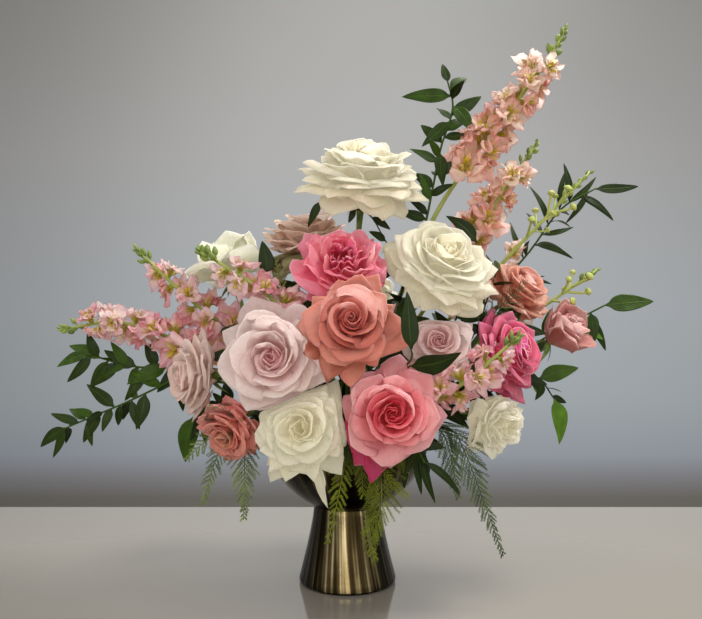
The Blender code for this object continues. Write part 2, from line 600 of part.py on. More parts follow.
def frond(root, points, pinnae, reach, bare):
    """One feather: a slim rib, then pairs of pinnae cut to the rib, in a single arched blade.

    root is the straight part in the foam, if this frond has it.
    """
    front = Vector((0.2, -1, 0.45))
    curve = curve_through(points, 4)
    stations = [(root[0], (points[0] - root[0]).normalized())] if root else []
    bare_steps = [0, bare / 2]
    stations += [along(curve, share) for share in bare_steps]
    first = len(stations)
    stations += [along(curve, bare + (0.985 - bare) * k / pinnae) for k in range(pinnae + 1)]
    outline = []
    triangles = []
    for k, (here, way) in enumerate(stations):
        side = way.cross(front).normalized()
        half = 0.0009 if k < len(stations) - 1 else 0.0006
        outline += [here - side * half, here + side * half]
    tips = []
    for k in range(len(stations) - 1):
        a, b, c, d = 2 * k, 2 * k + 1, 2 * k + 3, 2 * k + 2
        triangles += [(a, b, c), (a, c, d)]
        if k >= first:
            t = (k - first) / pinnae
            here, way = along(curve, bare + (0.985 - bare) * (t + 0.5 / pinnae))
            side = way.cross(front).normalized()
            length = reach * (0.35 + 0.65 * math.sin(math.pi * min(1, (t + 0.18) / 0.75) / 2)) * (1 - t ** 3)
            for sign, low, high in ((-1, a, d), (1, b, c)):
                tip = len(outline) + len(tips)
                tips.append(here + side * sign * length + way * length * 0.55
                            + Vector((0, 0, -0.12 * length)))
                triangles.append((low, high, tip) if sign < 0 else (high, low, tip))
    return thicken(outline + tips, [tuple(reversed(t)) for t in triangles], BLADE)


def make_fern(name, fronds, route, finish, room):
    """A spray of fronds. The rib of the first one is the stalk that is pushed into the foam."""
    room.trees.pop("fern_" + name)
    pieces = []
    for k, (points, pinnae, reach, bare) in enumerate(fronds):
        root = route[:1] if k == 0 else []
        for scale in (1, 0.85, 0.7, 0.5):
            rib = [route[-1]] + [Vector(p) for p in points[1:]]
            made = frond(root, rib, pinnae, reach * scale, bare)
            if room.free("fern_" + name, *made, ("foam",)):
                break
        else:
            print("frond crosses:", name, k)
        pieces.append(mesh_object(f"frond_{k}", *made))
    spray = pieces.pop(0)
    spray.name = "fern_" + name
    spray.data.materials.append(finish)
    room.add_object(boolean(spray, pieces, "UNION") if pieces else spray)


# ---------------------------------------------------------------- keeping the pieces clear
def foam_profile():
    """Outline of the foam: it lies in the bowl, whose rows it shares, and is rounded above the rim."""
    reach = BOWL_RADIUS - METAL - GAP * 1.2
    rows = [(0, BOWL_CENTRE - reach * math.cos(math.pi / 4))]
    for k in (3, 4, 5, 6):
        angle = math.pi / 2 * k / BOWL_ROWS
        rows.append((reach * math.sin(angle), BOWL_CENTRE - reach * math.cos(angle)))
    return rows + [(0.076, BOWL_CENTRE + 0.006), (0.066, 0.170), (0.050, 0.181), (0.028, 0.186),
                   (0, FOAM_TOP)]


def foam_reach(way):
    """Distance from FOAM_MIDDLE along a direction to the skin of the foam."""
    flat = math.hypot(way.x, way.y)
    rows = foam_profile()
    for (r0, z0), (r1, z1) in zip(rows[4:], rows[5:]):
        dr, dz = r1 - r0, z1 - z0
        under = way.z * dr - flat * dz
        if abs(under) < 1e-9:
            continue
        share = (flat * (z0 - FOAM_MIDDLE.z) - way.z * r0) / under
        if -0.001 <= share <= 1.001:
            return math.hypot(r0 + dr * share, z0 + dz * share - FOAM_MIDDLE.z)
    return 0.074


def spread_sockets(targets):
    """One direction for each stem: towards its target, then eased away from the others."""
    ways = []
    for target in targets:
        way = target - FOAM_MIDDLE
        way.z = max(way.z, SLOPE * math.hypot(way.x, way.y))
        ways.append(way.normalized())
    wanted = 2 * math.asin(SPACING / 2)
    for _ in range(200):
        for i in range(len(ways)):
            for j in range(i):
                apart = ways[i].angle(ways[j], 0)
                if apart < wanted:
                    push = (ways[i] - ways[j] + Vector((1e-5 * i, 1e-5 * j, 0))).normalized()
                    push *= (wanted - apart) * 0.3
                    ways[i] = (ways[i] + push).normalized()
                    ways[j] = (ways[j] - push).normalized()
        for i, way in enumerate(ways):
            low = SLOPE * math.hypot(way.x, way.y)
            if way.z < low:
                ways[i] = Vector((way.x, way.y, low)).normalized()
    sockets = []
    for way in ways:
        mouth = FOAM_MIDDLE + way * foam_reach(way)
        sockets.append((mouth - way * SOCKET_DEPTH, mouth))
    return sockets


def ease_apart(routes, radii, fixed, rounds=60):
    """Moves the free points of the stems until no two stems are nearer than GAP."""
    spans = [(i, k) for i, route in enumerate(routes) for k in range(len(route) - 1)]
    for _ in range(rounds):
        moved = False
        for n, (i, a) in enumerate(spans):
            for j, b in spans[:n]:
                if i == j:
                    continue
                p, q = routes[i][a], routes[i][a + 1]
                r, s = routes[j][b], routes[j][b + 1]
                clear = radii[i] + radii[j] + GAP * 4
                if (p + q - r - s).length / 2 > clear + ((p - q).length + (r - s).length) / 2:
                    continue
                u, v = nearest_shares(p, q, r, s)
                here, there = p.lerp(q, u), r.lerp(s, v)
                apart = here - there
                if apart.length >= clear:
                    continue
                if apart.length < 1e-6:
                    apart = (q - p).cross(s - r)
                push = apart.normalized() * (clear - apart.length) * 0.6
                for route, which, sign in ((i, a, 1), (i, a + 1, 1), (j, b, -1), (j, b + 1, -1)):
                    if which not in fixed[route]:
                        routes[route][which] = routes[route][which] + push * sign
                        moved = True
        if not moved:
            break
    return routes


def nearest_shares(p, q, r, s):
    """Where two segments come nearest, as a share of each."""
    d1, d2, w = q - p, s - r, p - r
    a, e, b = d1.dot(d1), d2.dot(d2), d1.dot(d2)
    c, f = d1.dot(w), d2.dot(w)
    flat = a * e - b * b
    u = min(max((b * f - c * e) / flat, 0), 1) if flat > 1e-12 else 0
    v = min(max((b * u + f) / e, 0), 1)
    u = min(max((b * v - c) / a, 0), 1)
    return u, v


def walls_of(name):
    """Planes that part a bloom from its neighbours: (normal, offset). Petals stay behind them."""
    _, middle, _, radius, _ = ROSES[name]
    middle = Vector(middle)
    walls = []
    for other, (_, there, _, reach, _) in ROSES.items():
        way = Vector(there) - middle
        apart = way.length
        if other == name or apart > radius + reach:
            continue
        normal = way / apart
        share = (apart ** 2 + radius ** 2 - reach ** 2) / (2 * apart)
        room = CORRIDORS.get(frozenset((name, other)), 0)
        walls.append((normal, middle.dot(normal) + share - (BLADE + GAP) / 2 - room / 2))
    return walls


def press(points, walls, give):
    """Bends points that lie past a wall back to it, give further back."""
    pressed = []
    for point in points:
        for _ in range(4):
            for normal, offset in walls:
                past = point.dot(normal) - offset + give
                if past > 0:
                    point = point - normal * past
        pressed.append(point)
    return pressed


class Room:
    """What has been built so far, to find out whether one more piece would run into it."""

    def __init__(self):
        self.trees = {}

    def add(self, name, points, faces):
        self.trees.setdefault(name, []).append(BVHTree.FromPolygons(points, faces))

    def add_object(self, made):
        points = [v.co.copy() for v in made.data.vertices]
        self.trees[made.name] = [BVHTree.FromPolygons(points, [tuple(p.vertices) for p in made.data.polygons])]

    def free(self, own, points, faces, inside=()):
        """True if a slightly enlarged copy of the piece crosses nothing but its own node.

        inside names what the piece stands in by design, such as the foam around a stem.
        """
        middle = sum(points, Vector()) / len(points)
        larger = [p + (p - middle).normalized() * GAP * 2.5 for p in points]
        for shape in (points, larger):
            tree = BVHTree.FromPolygons(shape, faces)
            for name, others in self.trees.items():
                if name not in (own, *inside) and any(tree.overlap(other) for other in others):
                    return False
        return True


# ---------------------------------------------------------------- the arrangement
def build():
    for old in list(bpy.data.objects):
        bpy.data.objects.remove(old)

    metal = material("antique brass", (0.23, 0.17, 0.10), 0.35, 1.0)
    green_foam = material("wet foam", (0.06, 0.13, 0.05), 0.95)
    stem_green = material("rose stem", (0.16, 0.27, 0.08), 0.5)
    spike_pink = material("stock", (0.85, 0.42, 0.34), 0.6)
    leaf_green = material("vine leaf", (0.03, 0.12, 0.03), 0.4)
    fern_green = material("fern", (0.13, 0.24, 0.06), 0.6)
    petals_of = {
        "white": material("white petals", (0.88, 0.84, 0.68), 0.6),
        "hot": material("hot pink petals", (0.80, 0.16, 0.25), 0.6),
        "coral": material("coral petals", (0.72, 0.29, 0.22), 0.6),
        "blush": material("blush petals", (0.78, 0.55, 0.53), 0.6),
        "salmon": material("salmon petals", (0.88, 0.34, 0.32), 0.6),
        "magenta": material("magenta petals", (0.70, 0.10, 0.20), 0.6),
        "dusty": material("dusty petals", (0.60, 0.34, 0.30), 0.6),
    }

    foot = make_foot(metal)
    bowl = make_bowl(metal)

    # one route for every stem
    names, targets, routes, radii, fixed = [], [], [], [], []
    for name, (form, middle, facing, radius, _) in ROSES.items():
        names.append("stem_" + name)
        targets.append(Vector(middle) - Vector(facing).normalized() * radius * 1.2)
        radii.append(STEM)
    for name, (points, *_) in STOCKS.items():
        names.append("stock_" + name)
        targets.append(Vector(points[0]))
        radii.append(SPIKE)
    for name, (branches, _) in VINES.items():
        names.append("vine_" + name)
        targets.append(Vector(branches[0][0]))
        radii.append(VINE)
    for name, fronds in FERNS.items():
        names.append("fern_" + name)
        targets.append(Vector(fronds[0][0][0]))
        radii.append(STALK)
    sockets = dict(zip(names, spread_sockets(targets)))
    foam = make_foam(green_foam, [(*sockets[n], r) for n, r in zip(names, radii)])

    for name, (form, middle, facing, radius, _) in ROSES.items():
        end, mouth = sockets["stem_" + name]
        facing = Vector(facing).normalized()
        routes.append(stem_route(end, mouth, seat_of(middle, facing, radius), facing, 3))
        fixed.append({0, 1, 3, 4})
    for name, (points, *_) in STOCKS.items():
        end, mouth = sockets["stock_" + name]
        start = mouth + (mouth - end).normalized() * 0.004
        routes.append([end, start] + [Vector(p) for p in points])
        fixed.append({0, 1})
    for name, (branches, _) in VINES.items():
        end, mouth = sockets["vine_" + name]
        start = mouth + (mouth - end).normalized() * 0.004
        routes.append([end, start] + [Vector(p) for p in branches[0]])
        fixed.append({0, 1} | ({3} if len(branches) > 1 else set()))
    for name, fronds in FERNS.items():
        end, mouth = sockets["fern_" + name]
        start = mouth + (mouth - end).normalized() * 0.004
        routes.append([end, start])
        fixed.append({0, 1})
    route_of = dict(zip(names, ease_apart(routes, radii, fixed)))

    room = Room()
    room.add_object(foot)
    room.add_object(bowl)
    room.add_object(foam)
    for name, radius in zip(names, radii):
        sides = {STALK: 4, VINE: 3, SPIKE: 4, STEM: 5}[radius]
        room.add(name, *tube(route_of[name], [radius + GAP] * len(route_of[name]), sides))

    for name, rose in ROSES.items():
        colour = petals_of[name.split("_")[0]]
        make_rose(name, rose, route_of["stem_" + name], colour, stem_green, room)
    for name, stock in STOCKS.items():
        make_stock(name, stock, route_of["stock_" + name], spike_pink, room)
    for name, (branches, leaves) in VINES.items():
        make_vine(name, branches, leaves, route_of["vine_" + name], leaf_green, room)
    for name, fronds in FERNS.items():
        make_fern(name, fronds, route_of["fern_" + name], fern_green, room)


build()
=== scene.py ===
# %% [markdown]
# # A floral table centrepiece
#
# Nineteen garden roses, eight spikes of stock, trailing greenery and fern stand in wet foam in a
# footed brass bowl. A plain model of every piece is already packed, at its true size and place.
# This lesson dresses that model: each plain solid is stood in for by a finer piece of the same
# form, and each surface gets a finish made of nodes.
#
# The origin is on the table under the middle of the foot, +Z is up, and lengths are in metres.

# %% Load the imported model
import math

import bpy
import numpy as np
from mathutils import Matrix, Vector


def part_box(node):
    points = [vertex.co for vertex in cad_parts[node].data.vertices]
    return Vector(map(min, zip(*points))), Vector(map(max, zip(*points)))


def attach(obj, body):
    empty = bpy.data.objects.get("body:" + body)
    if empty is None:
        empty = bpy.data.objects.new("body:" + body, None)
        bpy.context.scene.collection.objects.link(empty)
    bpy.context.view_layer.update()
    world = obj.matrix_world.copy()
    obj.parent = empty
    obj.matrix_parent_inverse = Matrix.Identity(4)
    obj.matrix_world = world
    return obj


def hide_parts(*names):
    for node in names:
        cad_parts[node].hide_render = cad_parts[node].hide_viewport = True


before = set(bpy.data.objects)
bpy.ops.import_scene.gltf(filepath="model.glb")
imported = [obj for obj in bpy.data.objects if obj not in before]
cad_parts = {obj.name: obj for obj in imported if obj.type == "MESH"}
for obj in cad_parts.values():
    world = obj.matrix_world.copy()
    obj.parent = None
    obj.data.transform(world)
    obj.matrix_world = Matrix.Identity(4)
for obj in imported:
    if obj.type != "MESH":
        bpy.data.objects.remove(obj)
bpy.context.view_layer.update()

# %% [markdown]
# ## Finishes as plain arithmetic
#
# Petals, leaves and metal are coloured by masks: how far along a petal a point is, how deep in the
# bloom, how noisy the surface. A mask is easy to think of as a formula, and hard to read as a web
# of nodes. So a small class wraps one socket and lets Python's own signs add the nodes. Numbers
# go through Math nodes. Colours and vectors go through Vector Math and Mix, because a Math node
# would turn a colour grey.

# %% A socket that can be added, multiplied and mixed
def paint(red, green, blue):
    """A colour as a paint chart gives it, 0 to 255, turned into the light values that nodes use."""
    share = [v / 255 for v in (red, green, blue)]
    return tuple(v / 12.92 if v <= 0.04045 else ((v + 0.055) / 1.055) ** 2.4 for v in share)


class Wire:
    """One output socket of a finish. Arithmetic on it adds the nodes that do the sum."""

    def __init__(self, finish, socket):
        self.finish = finish
        self.socket = socket

    def sum(self, operation, first, second=0.0):
        terms = (first, second)
        wide = any(isinstance(t, tuple) or (isinstance(t, Wire) and t.socket.type != "VALUE")
                   for t in terms)
        if wide:
            terms = [t if isinstance(t, (Wire, tuple)) else (t, t, t) for t in terms]
        kind = "VectorMath" if wide else "Math"
        return self.finish.node(kind, {"operation": operation}, {0: terms[0], 1: terms[1]})

    def __add__(self, other):
        return self.sum("ADD", self, other)

    def __sub__(self, other):
        return self.sum("SUBTRACT", self, other)

    def __rsub__(self, other):
        return self.sum("SUBTRACT", other, self)

    def __mul__(self, other):
        return self.sum("MULTIPLY", self, other)

    __radd__ = __add__
    __rmul__ = __mul__

    def above(self, low, high):
        """0 below low, 1 above high, and a soft step between them."""
        return self.finish.node("MapRange", {"interpolation_type": "SMOOTHSTEP"},
                                {"Value": self, "From Min": low, "From Max": high})


# %% A finish, and the one method that adds any node to it
class Finish:
    """A material. Constants go straight to its shader; what varies is built from Wires."""

    def __init__(self, name, **constants):
        self.material = bpy.data.materials.new(name)
        self.material.use_nodes = True
        self.tree = self.material.node_tree
        self.shader = self.tree.nodes["Principled BSDF"]
        for socket, value in constants.items():
            self.join(self.shader.inputs[socket.replace("_", " ")], value)

    def join(self, socket, value):
        if isinstance(value, Wire):
            self.tree.links.new(value.socket, socket)
        elif isinstance(value, tuple) and socket.type == "RGBA":
            socket.default_value = (*value, 1.0)
        else:
            socket.default_value = value

    def node(self, kind, settings=(), values=(), out=0):
        made = self.tree.nodes.new("ShaderNode" + kind)
        for name, setting in dict(settings).items():
            if name == "stops":
                stops = made.color_ramp.elements
                for place, colour in setting[2:]:
                    stops.new(place)
                for stop, (place, colour) in zip(stops, sorted(setting)):
                    stop.position = place
                    stop.color = (*colour, 1.0)
            else:
                setattr(made, name, setting)
        for name, value in dict(values).items():
            self.join(made.inputs[name], value)
        return Wire(self, made.outputs[out])

    def mark(self, name):
        """A number that the mesh carries at every point."""
        return self.node("Attribute", {"attribute_name": name}, out="Fac")

    def vector(self, x, y, z):
        return self.node("CombineXYZ", values={0: x, 1: y, 2: z})

    def spot(self):
        """Where the point is on the object, in metres."""
        return self.node("TexCoord", out="Object")

    def noise(self, place, scale, detail=3.0, rough=0.55):
        return self.node("TexNoise", values={"Vector": place, "Scale": scale, "Detail": detail,
                                             "Roughness": rough}, out="Fac")

    def mix(self, mask, first, second):
        return self.node("Mix", {"data_type": "RGBA"}, {0: mask, 6: first, 7: second}, out=2)

    def ramp(self, place, stops):
        return self.node("ValToRGB", {"stops": stops}, {"Fac": place}, out="Color")

    def coat(self, colour, roughness=None, height=None, depth=0.0005, strength=1.0, glow=None):
        """Sends what varies to the shader. height makes bumps, at most depth metres tall."""
        for name, value in (("Base Color", colour), ("Roughness", roughness), ("Emission Color", glow)):
            if value is not None:
                self.join(self.shader.inputs[name], value)
        if height is not None:
            bump = self.node("Bump", values={"Height": height, "Distance": depth, "Strength": strength})
            self.join(self.shader.inputs["Normal"], bump)
        return self


print("white paint:", [round(v, 3) for v in paint(240, 234, 214)])

# %% [markdown]
# ## The room: camera, table and soft light
#
# The camera stands level with the middle of the blooms, 80 cm away, as a person sees a centrepiece
# from a chair. A pale table with a clear coat carries the bowl and mirrors it faintly. The light
# comes from big soft boxes, which petals need: small lamps would put hard black edges between
# them. Two boxes at the ceiling lay a soft shadow on the table, and three narrow panes, low in
# front, draw bright stripes on the brass. A wall far behind gives the pale petals something
# cooler to stand out from, and one lamp lights only that.

# %% Camera
AWAY = 0.80      # from the camera to the middle of the arrangement
SEEN = 0.702     # width that the camera sees there
scene = bpy.context.scene
scene.view_settings.view_transform = "Standard"
camera = bpy.data.objects.new("camera", bpy.data.cameras.new("camera"))
camera.data.sensor_width = 36.0
camera.data.lens = camera.data.sensor_width * AWAY / SEEN
camera.location = (0.0035, -AWAY, 0.27)
camera.rotation_euler = (math.radians(90), 0, 0)
scene.collection.objects.link(camera)
scene.camera = camera
print("lens:", round(camera.data.lens, 2), "mm")

# %% Table and wall
def flat_sheet(name, low, high, finish, upright=False):
    """A plain rectangle, lying flat or standing at the y of its corners."""
    (x0, y0, z0), (x1, y1, z1) = low, high
    if upright:
        points = [(x0, y0, z0), (x1, y0, z0), (x1, y0, z1), (x0, y0, z1)]
    else:
        points = [(x0, y0, z0), (x1, y0, z0), (x1, y1, z0), (x0, y1, z0)]
    mesh = bpy.data.meshes.new(name)
    mesh.from_pydata(points, [], [(0, 1, 2, 3)])
    mesh.materials.append(finish.material)
    made = bpy.data.objects.new(name, mesh)
    scene.collection.objects.link(made)


table = Finish("pale_table", Specular_IOR_Level=0.6, Coat_Weight=1.0, Coat_Roughness=0.09, Coat_IOR=1.7)
cloud = table.noise(table.spot(), 2.2, 2.0)
scuff = table.noise(table.spot(), 9.0, 3.0)
table.coat(colour=table.mix(cloud, paint(146, 140, 127), paint(158, 152, 141)),
           roughness=0.06 + 0.06 * scuff)
flat_sheet("table", (-2.5, -2.5, -0.0004), (2.5, 0.295, 0), table)

wall = Finish("grey_wall", Roughness=0.95, Specular_IOR_Level=0.1)
across, height = (wall.node("SeparateXYZ", values={0: wall.spot()}, out=k) for k in "XZ")
# The wall's colour is painted light: its changes of brightness and tint up the wall stand for how the light
# falls on it, and the dark band at its foot is a painted shadow where the table's edge meets it.
wall_painted_light = wall.ramp((height + 0.5) * 0.5, [(0.066, paint(112, 109, 103)), (0.098, paint(131, 131, 134)),
                                           (0.14, paint(153, 159, 168)), (0.224, paint(162, 170, 174)),
                                           (0.39, paint(169, 174, 179)), (0.645, paint(168, 168, 168)),
                                           (0.9, paint(154, 153, 150))])
# painted shade: the wall is darker towards the left, where less light falls on it
wall_painted_light = wall_painted_light * (1 - 0.24 * (0 - across).above(0.25, 1.5))
wall.coat(colour=wall_painted_light * (0.97 + 0.06 * wall.noise(wall.spot(), 1.4, 2.0)))
WALL = 1.9       # how far behind the arrangement the wall stands
flat_sheet("wall", (-4, WALL, -1.2), (4, WALL, 2.6), wall, upright=True)
print("the wall stands", WALL, "m behind")

# %% Soft lights
def soft_box(name, place, aim, width, watts, tint=(1.0, 1.0, 1.0), tall=None):
    light = bpy.data.lights.new(name, "AREA")
    light.shape = "RECTANGLE"
    light.size, light.size_y = width, tall or width * 0.7
    light.energy = watts
    light.color = tint
    lamp = bpy.data.objects.new(name, light)
    lamp.location = place
    lamp.rotation_euler = (Vector(aim) - Vector(place)).to_track_quat("-Z", "Y").to_euler()
    scene.collection.objects.link(lamp)


soft_box("window_left", (-1.05, -1.55, 1.00), (0, 0, 0.26), 1.7, 5.5, (1.0, 0.985, 0.96))
soft_box("window_right", (1.20, -1.40, 0.80), (0, 0, 0.26), 1.4, 4, (0.98, 0.99, 1.0))
soft_box("window_front", (0.10, -1.95, 1.25), (0, 0, 0.24), 1.8, 9, (1.0, 0.99, 0.97), tall=0.9)
soft_box("ceiling_right", (0.72, 0.12, 1.30), (-0.05, 0.02, 0.1), 0.42, 17, (1.0, 0.98, 0.95))
soft_box("ceiling_left", (-0.80, 0.12, 1.30), (0.05, 0.02, 0.1), 0.45, 5, (1.0, 0.98, 0.95))
soft_box("pane_left", (-0.36, -1.60, 0.34), (0, 0, 0.08), 0.14, 0.9, (1.0, 0.97, 0.92), tall=0.66)
soft_box("pane_middle", (0.00, -1.65, 0.34), (0, 0, 0.08), 0.30, 3.5, (1.0, 0.97, 0.92), tall=0.66)
soft_box("pane_right", (0.46, -1.60, 0.34), (0, 0, 0.08), 0.10, 0.5, (1.0, 0.97, 0.92), tall=0.66)
soft_box("wall_wash", (0.2, 1.2, 1.7), (0.1, 1.9, 0.3), 1.2, 7.5, (0.94, 0.97, 1.0))
world = bpy.data.worlds.new("room")
world.use_nodes = True
room_light = world.node_tree.nodes["Background"]
room_light.inputs["Color"].default_value = (0.66, 0.65, 0.64, 1)
room_light.inputs["Strength"].default_value = 0.90
scene.world = world

# %% [markdown]
# ## Sheets, tubes and the pieces made of them
#
# Almost everything in a bouquet is either a thin sheet (petal, leaf) or a round shoot (stem, rib,
# bud). Both are grids of points: rows along the piece, columns across it. One class gathers many
# grids into one mesh and notes at every point how far across and along its grid it is, how far out
# in its flower (layer), and a random number (tint). The finishes read those marks, so colour needs
# no pictures and no unwrapping.

# %% Gather grids of points into one piece
class Piece:
    """Grids of points that become one mesh."""

    def __init__(self):
        self.points, self.faces, self.marks = [], [], []
        self.count = 0
        self.border = 0      # edges round the sheets, where thickness adds a rim

    def sheet(self, grid, layer=0.0, tint=0.0, ring=False, across=None):
        """Adds a grid of points. ring joins the last column to the first."""
        rows, columns = grid.shape[:2]
        number = np.arange(rows * columns).reshape(rows, columns) + self.count
        if ring:
            number = np.column_stack([number, number[:, :1]])
        quads = np.stack([number[:-1, :-1], number[:-1, 1:], number[1:, 1:], number[1:, :-1]], -1)
        if across is None:
            across = np.linspace(-1, 1, columns)
        marks = np.zeros((rows, columns, 4))
        marks[..., 0] = across
        marks[..., 1] = np.linspace(0, 1, rows)[:, None]
        marks[..., 2] = layer
        marks[..., 3] = tint
        self.points.append(grid.reshape(-1, 3))
        self.faces.append(quads.reshape(-1, 4))
        self.marks.append(marks.reshape(-1, 4))
        self.count += rows * columns
        self.border += 2 * (rows + columns - 2)

    def make(self, name, finish, slot, node=None, thickness=None, crease=None, rim=True):
        """Turns what was gathered into one object that rides on the arrangement."""
        mesh = bpy.data.meshes.new(name)
        mesh.from_pydata(np.concatenate(self.points), [], np.concatenate(self.faces))
        marks = np.concatenate(self.marks).astype(np.float32)
        for k, mark in enumerate(("across", "along", "layer", "tint")):
            mesh.attributes.new(mark, "FLOAT", "POINT").data.foreach_set("value", marks[:, k].copy())
        mesh.materials.append(finish.material)
        mesh.shade_smooth()
        if crease:
            mesh.set_sharp_from_angle(angle=math.radians(crease))
        made = bpy.data.objects.new(name, mesh)
        scene.collection.objects.link(made)
        if thickness:
            solid = made.modifiers.new("thickness", "SOLIDIFY")
            solid.thickness = thickness
            solid.offset = 0.0
            solid.use_rim = rim
        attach(made, "root")
        if node:
            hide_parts(node)
        drawn = len(mesh.polygons) * 2
        if thickness:
            drawn = drawn * 2 + (self.border * 2 if rim else 0)
        faces_drawn[name] = drawn


faces_drawn = {}


# %% Curves, tubes and the way a flower faces
def curve_through(points, steps):
    """A smooth curve through the points, with this many steps in each span."""
    points = np.array(points, dtype=float)
    ends = np.vstack([points[0] * 2 - points[1], points, points[-1] * 2 - points[-2]])
    t = (np.arange(steps) / steps)[:, None]
    spans = []
    for a, b, c, d in zip(ends, ends[1:], ends[2:], ends[3:]):
        spans.append((b * 2 + (c - a) * t + (a * 2 - b * 5 + c * 4 - d) * t ** 2
                      + (b * 3 - a - c * 3 + d) * t ** 3) / 2)
    return np.vstack([*spans, points[-1:]])


def unit(v):
    return v / np.maximum(np.linalg.norm(v, axis=-1, keepdims=True), 1e-12)


def frames_along(curve):
    """At every point of a curve: its direction, and two directions square to it that never flip."""
    ahead = unit(np.gradient(curve, axis=0))
    start = np.array((0.0, -1.0, 0.2)) if abs(ahead[0][1]) < 0.9 else np.array((1.0, 0, 0))
    across, side = [], start
    for way in ahead:
        side = unit(side - way * np.dot(side, way))
        across.append(side)
    across = np.array(across)
    return ahead, across, np.cross(ahead, across)


def tube(curve, radii, sides):
    """A round shoot along a curve. Its ends close to a point."""
    curve = np.array(curve, dtype=float)
    _, across, beside = frames_along(curve)
    angle = np.linspace(0, 2 * math.pi, sides, endpoint=False)
    ring = across[:, None] * np.cos(angle)[:, None] + beside[:, None] * np.sin(angle)[:, None]
    radii = np.broadcast_to(np.array(radii, dtype=float).reshape(-1, 1, 1), (len(curve), 1, 1))
    grid = curve[:, None] + ring * radii
    return np.concatenate([curve[:1, None].repeat(sides, 1), grid, curve[-1:, None].repeat(sides, 1)])


def at_share(curve, share):
    """Point and direction at this share of a curve's length."""
    step = np.linalg.norm(np.diff(curve, axis=0), axis=1)
    reach = np.concatenate([[0], np.cumsum(step)])
    here = share * reach[-1]
    point = np.array([np.interp(here, reach, curve[:, k]) for k in range(3)])
    k = min(np.searchsorted(reach, here, side="right"), len(curve) - 1)
    return point, unit(curve[k] - curve[k - 1])


def facing(way):
    """The turn that makes a flower built on +Z face this way, as three rows."""
    return np.array(Vector(way).to_track_quat("Z", "Y").to_matrix())


GOLDEN = math.radians(137.508)
print("golden angle:", round(math.degrees(GOLDEN), 3))

# %% [markdown]
# ## The bowl, its foot and the foam
#
# The vase is spun brass in an antique brown tone: a half-round bowl on a flared cone. Both are
# solids of revolution, so one outline each is enough, and 144 sides keep the edge round. Their
# main sizes are read from the imported model. The brush left fine rings while the brass turned,
# which are a bump. The colour follows a mask of lines that run up the cone: upright streaks that
# are partly the brass's own brushed tone and partly painted reflection, bright where a window
# would be mirrored and dark where the room would be. It is also painted darker where the surface
# turns away from the view, a painted reflection of the dark room at the sides.

# %% Brushed antique brass
brass = Finish("antique_brass", Metallic=1.0, Anisotropic=0.35)
spot = brass.spot()
xyz = [brass.node("SeparateXYZ", values={0: spot}, out=k) for k in "XYZ"]
turn = brass.node("Math", {"operation": "ARCTAN2"}, {0: xyz[1], 1: xyz[0]})
streak_and_reflection = brass.noise(brass.vector(turn * 3.6 + xyz[2] * 5.0, xyz[2] * 2.0, 0.0), 2.4, 1.5)
fine = brass.noise(brass.vector(turn * 60.0, xyz[2] * 8.0, 3.0), 3.0, 3.0)
brushed = brass.noise(brass.vector(turn * 5.0, xyz[2] * 900.0, 7.0), 1.0, 2.0)
stain = brass.noise(spot, 42.0, 4.0)
# partly the brass's own brushed tone, partly painted reflection: the bright end stands for mirrored window
# light, the dark end for the dark room
tone = brass.ramp((streak_and_reflection * 0.80 + fine * 0.12 + stain * 0.08).above(0.30, 0.72),
                  [(0.0, paint(26, 20, 10)), (0.40, paint(62, 51, 30)), (0.70, paint(120, 106, 74)),
                   (1.0, paint(200, 186, 150))])
# painted reflection: the colour is darkened where the surface turns away from the view, for the dark room
# that the sides mirror
edge = brass.node("LayerWeight", values={"Blend": 0.5}, out="Facing")
brass.coat(colour=tone * (1 - 0.80 * edge.above(0.02, 0.34)),
           roughness=0.20 + 0.10 * stain + 0.06 * fine,
           height=brushed * 0.4 + fine * 0.6, depth=0.00006, strength=0.35)
print("nodes in the brass:", len(brass.tree.nodes))

# %% Spin the foot and the bowl
SIDES = 144


def spun(name, outline, finish, slot, node, crease=25):
    """A solid of revolution about Z from a closed outline of (radius, height)."""
    outline = np.array(outline + outline[:1])
    angle = np.linspace(0, 2 * math.pi, SIDES, endpoint=False)
    grid = np.stack([outline[:, :1] * np.cos(angle), outline[:, :1] * np.sin(angle),
                     outline[:, 1:] + 0 * angle], -1)
    piece = Piece()
    piece.sheet(grid, ring=True)
    piece.make(name, finish, slot, node, crease=crease)


METAL = 0.0013
bowl_low, bowl_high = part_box("bowl")
_, foot_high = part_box("foot")
LIP = bowl_high[2]
RIM = LIP - 0.0028
BOWL = RIM - bowl_low[2]
FOOT = foot_high[0]
NECK = 0.0325
print("bowl radius", round(BOWL, 4), " rim height", round(RIM, 4), " foot radius", round(FOOT, 4))


def ball(radius, reach):
    """Height of a ball about the rim's middle at this distance from the axis."""
    return RIM - math.sqrt(max(radius ** 2 - reach ** 2, 0))


seat = ball(BOWL, NECK) - 0.0003
inside_neck = NECK - METAL * 1.5
flare = [(FOOT - 0.0001, 0.0045)]
for k in range(1, 25):
    t = k / 24
    flare.append((FOOT - 0.0003 - (FOOT - 0.0003 - NECK - 0.0012) * (1 - (1 - t) ** 1.22),
                  0.005 + (seat - 0.0105) * t))
foot_outline = ([(0.0001, 0.0), (FOOT - 0.0034, 0.0), (FOOT - 0.0020, 0.0003), (FOOT - 0.0008, 0.0011),
                 (FOOT - 0.0001, 0.0024)] + flare
                + [(NECK + 0.0008, seat - 0.0030), (NECK + 0.0001, seat - 0.0008), (NECK, seat),
                   (inside_neck, ball(BOWL, inside_neck) - 0.0003), (NECK - 0.0008, seat - 0.006),
                   (0.0382, 0.042), (FOOT - METAL * 2, 0.005), (FOOT - METAL * 3, 0.002), (0.0001, 0.002)])
spun("spun_foot", foot_outline, brass, "brass", "foot")

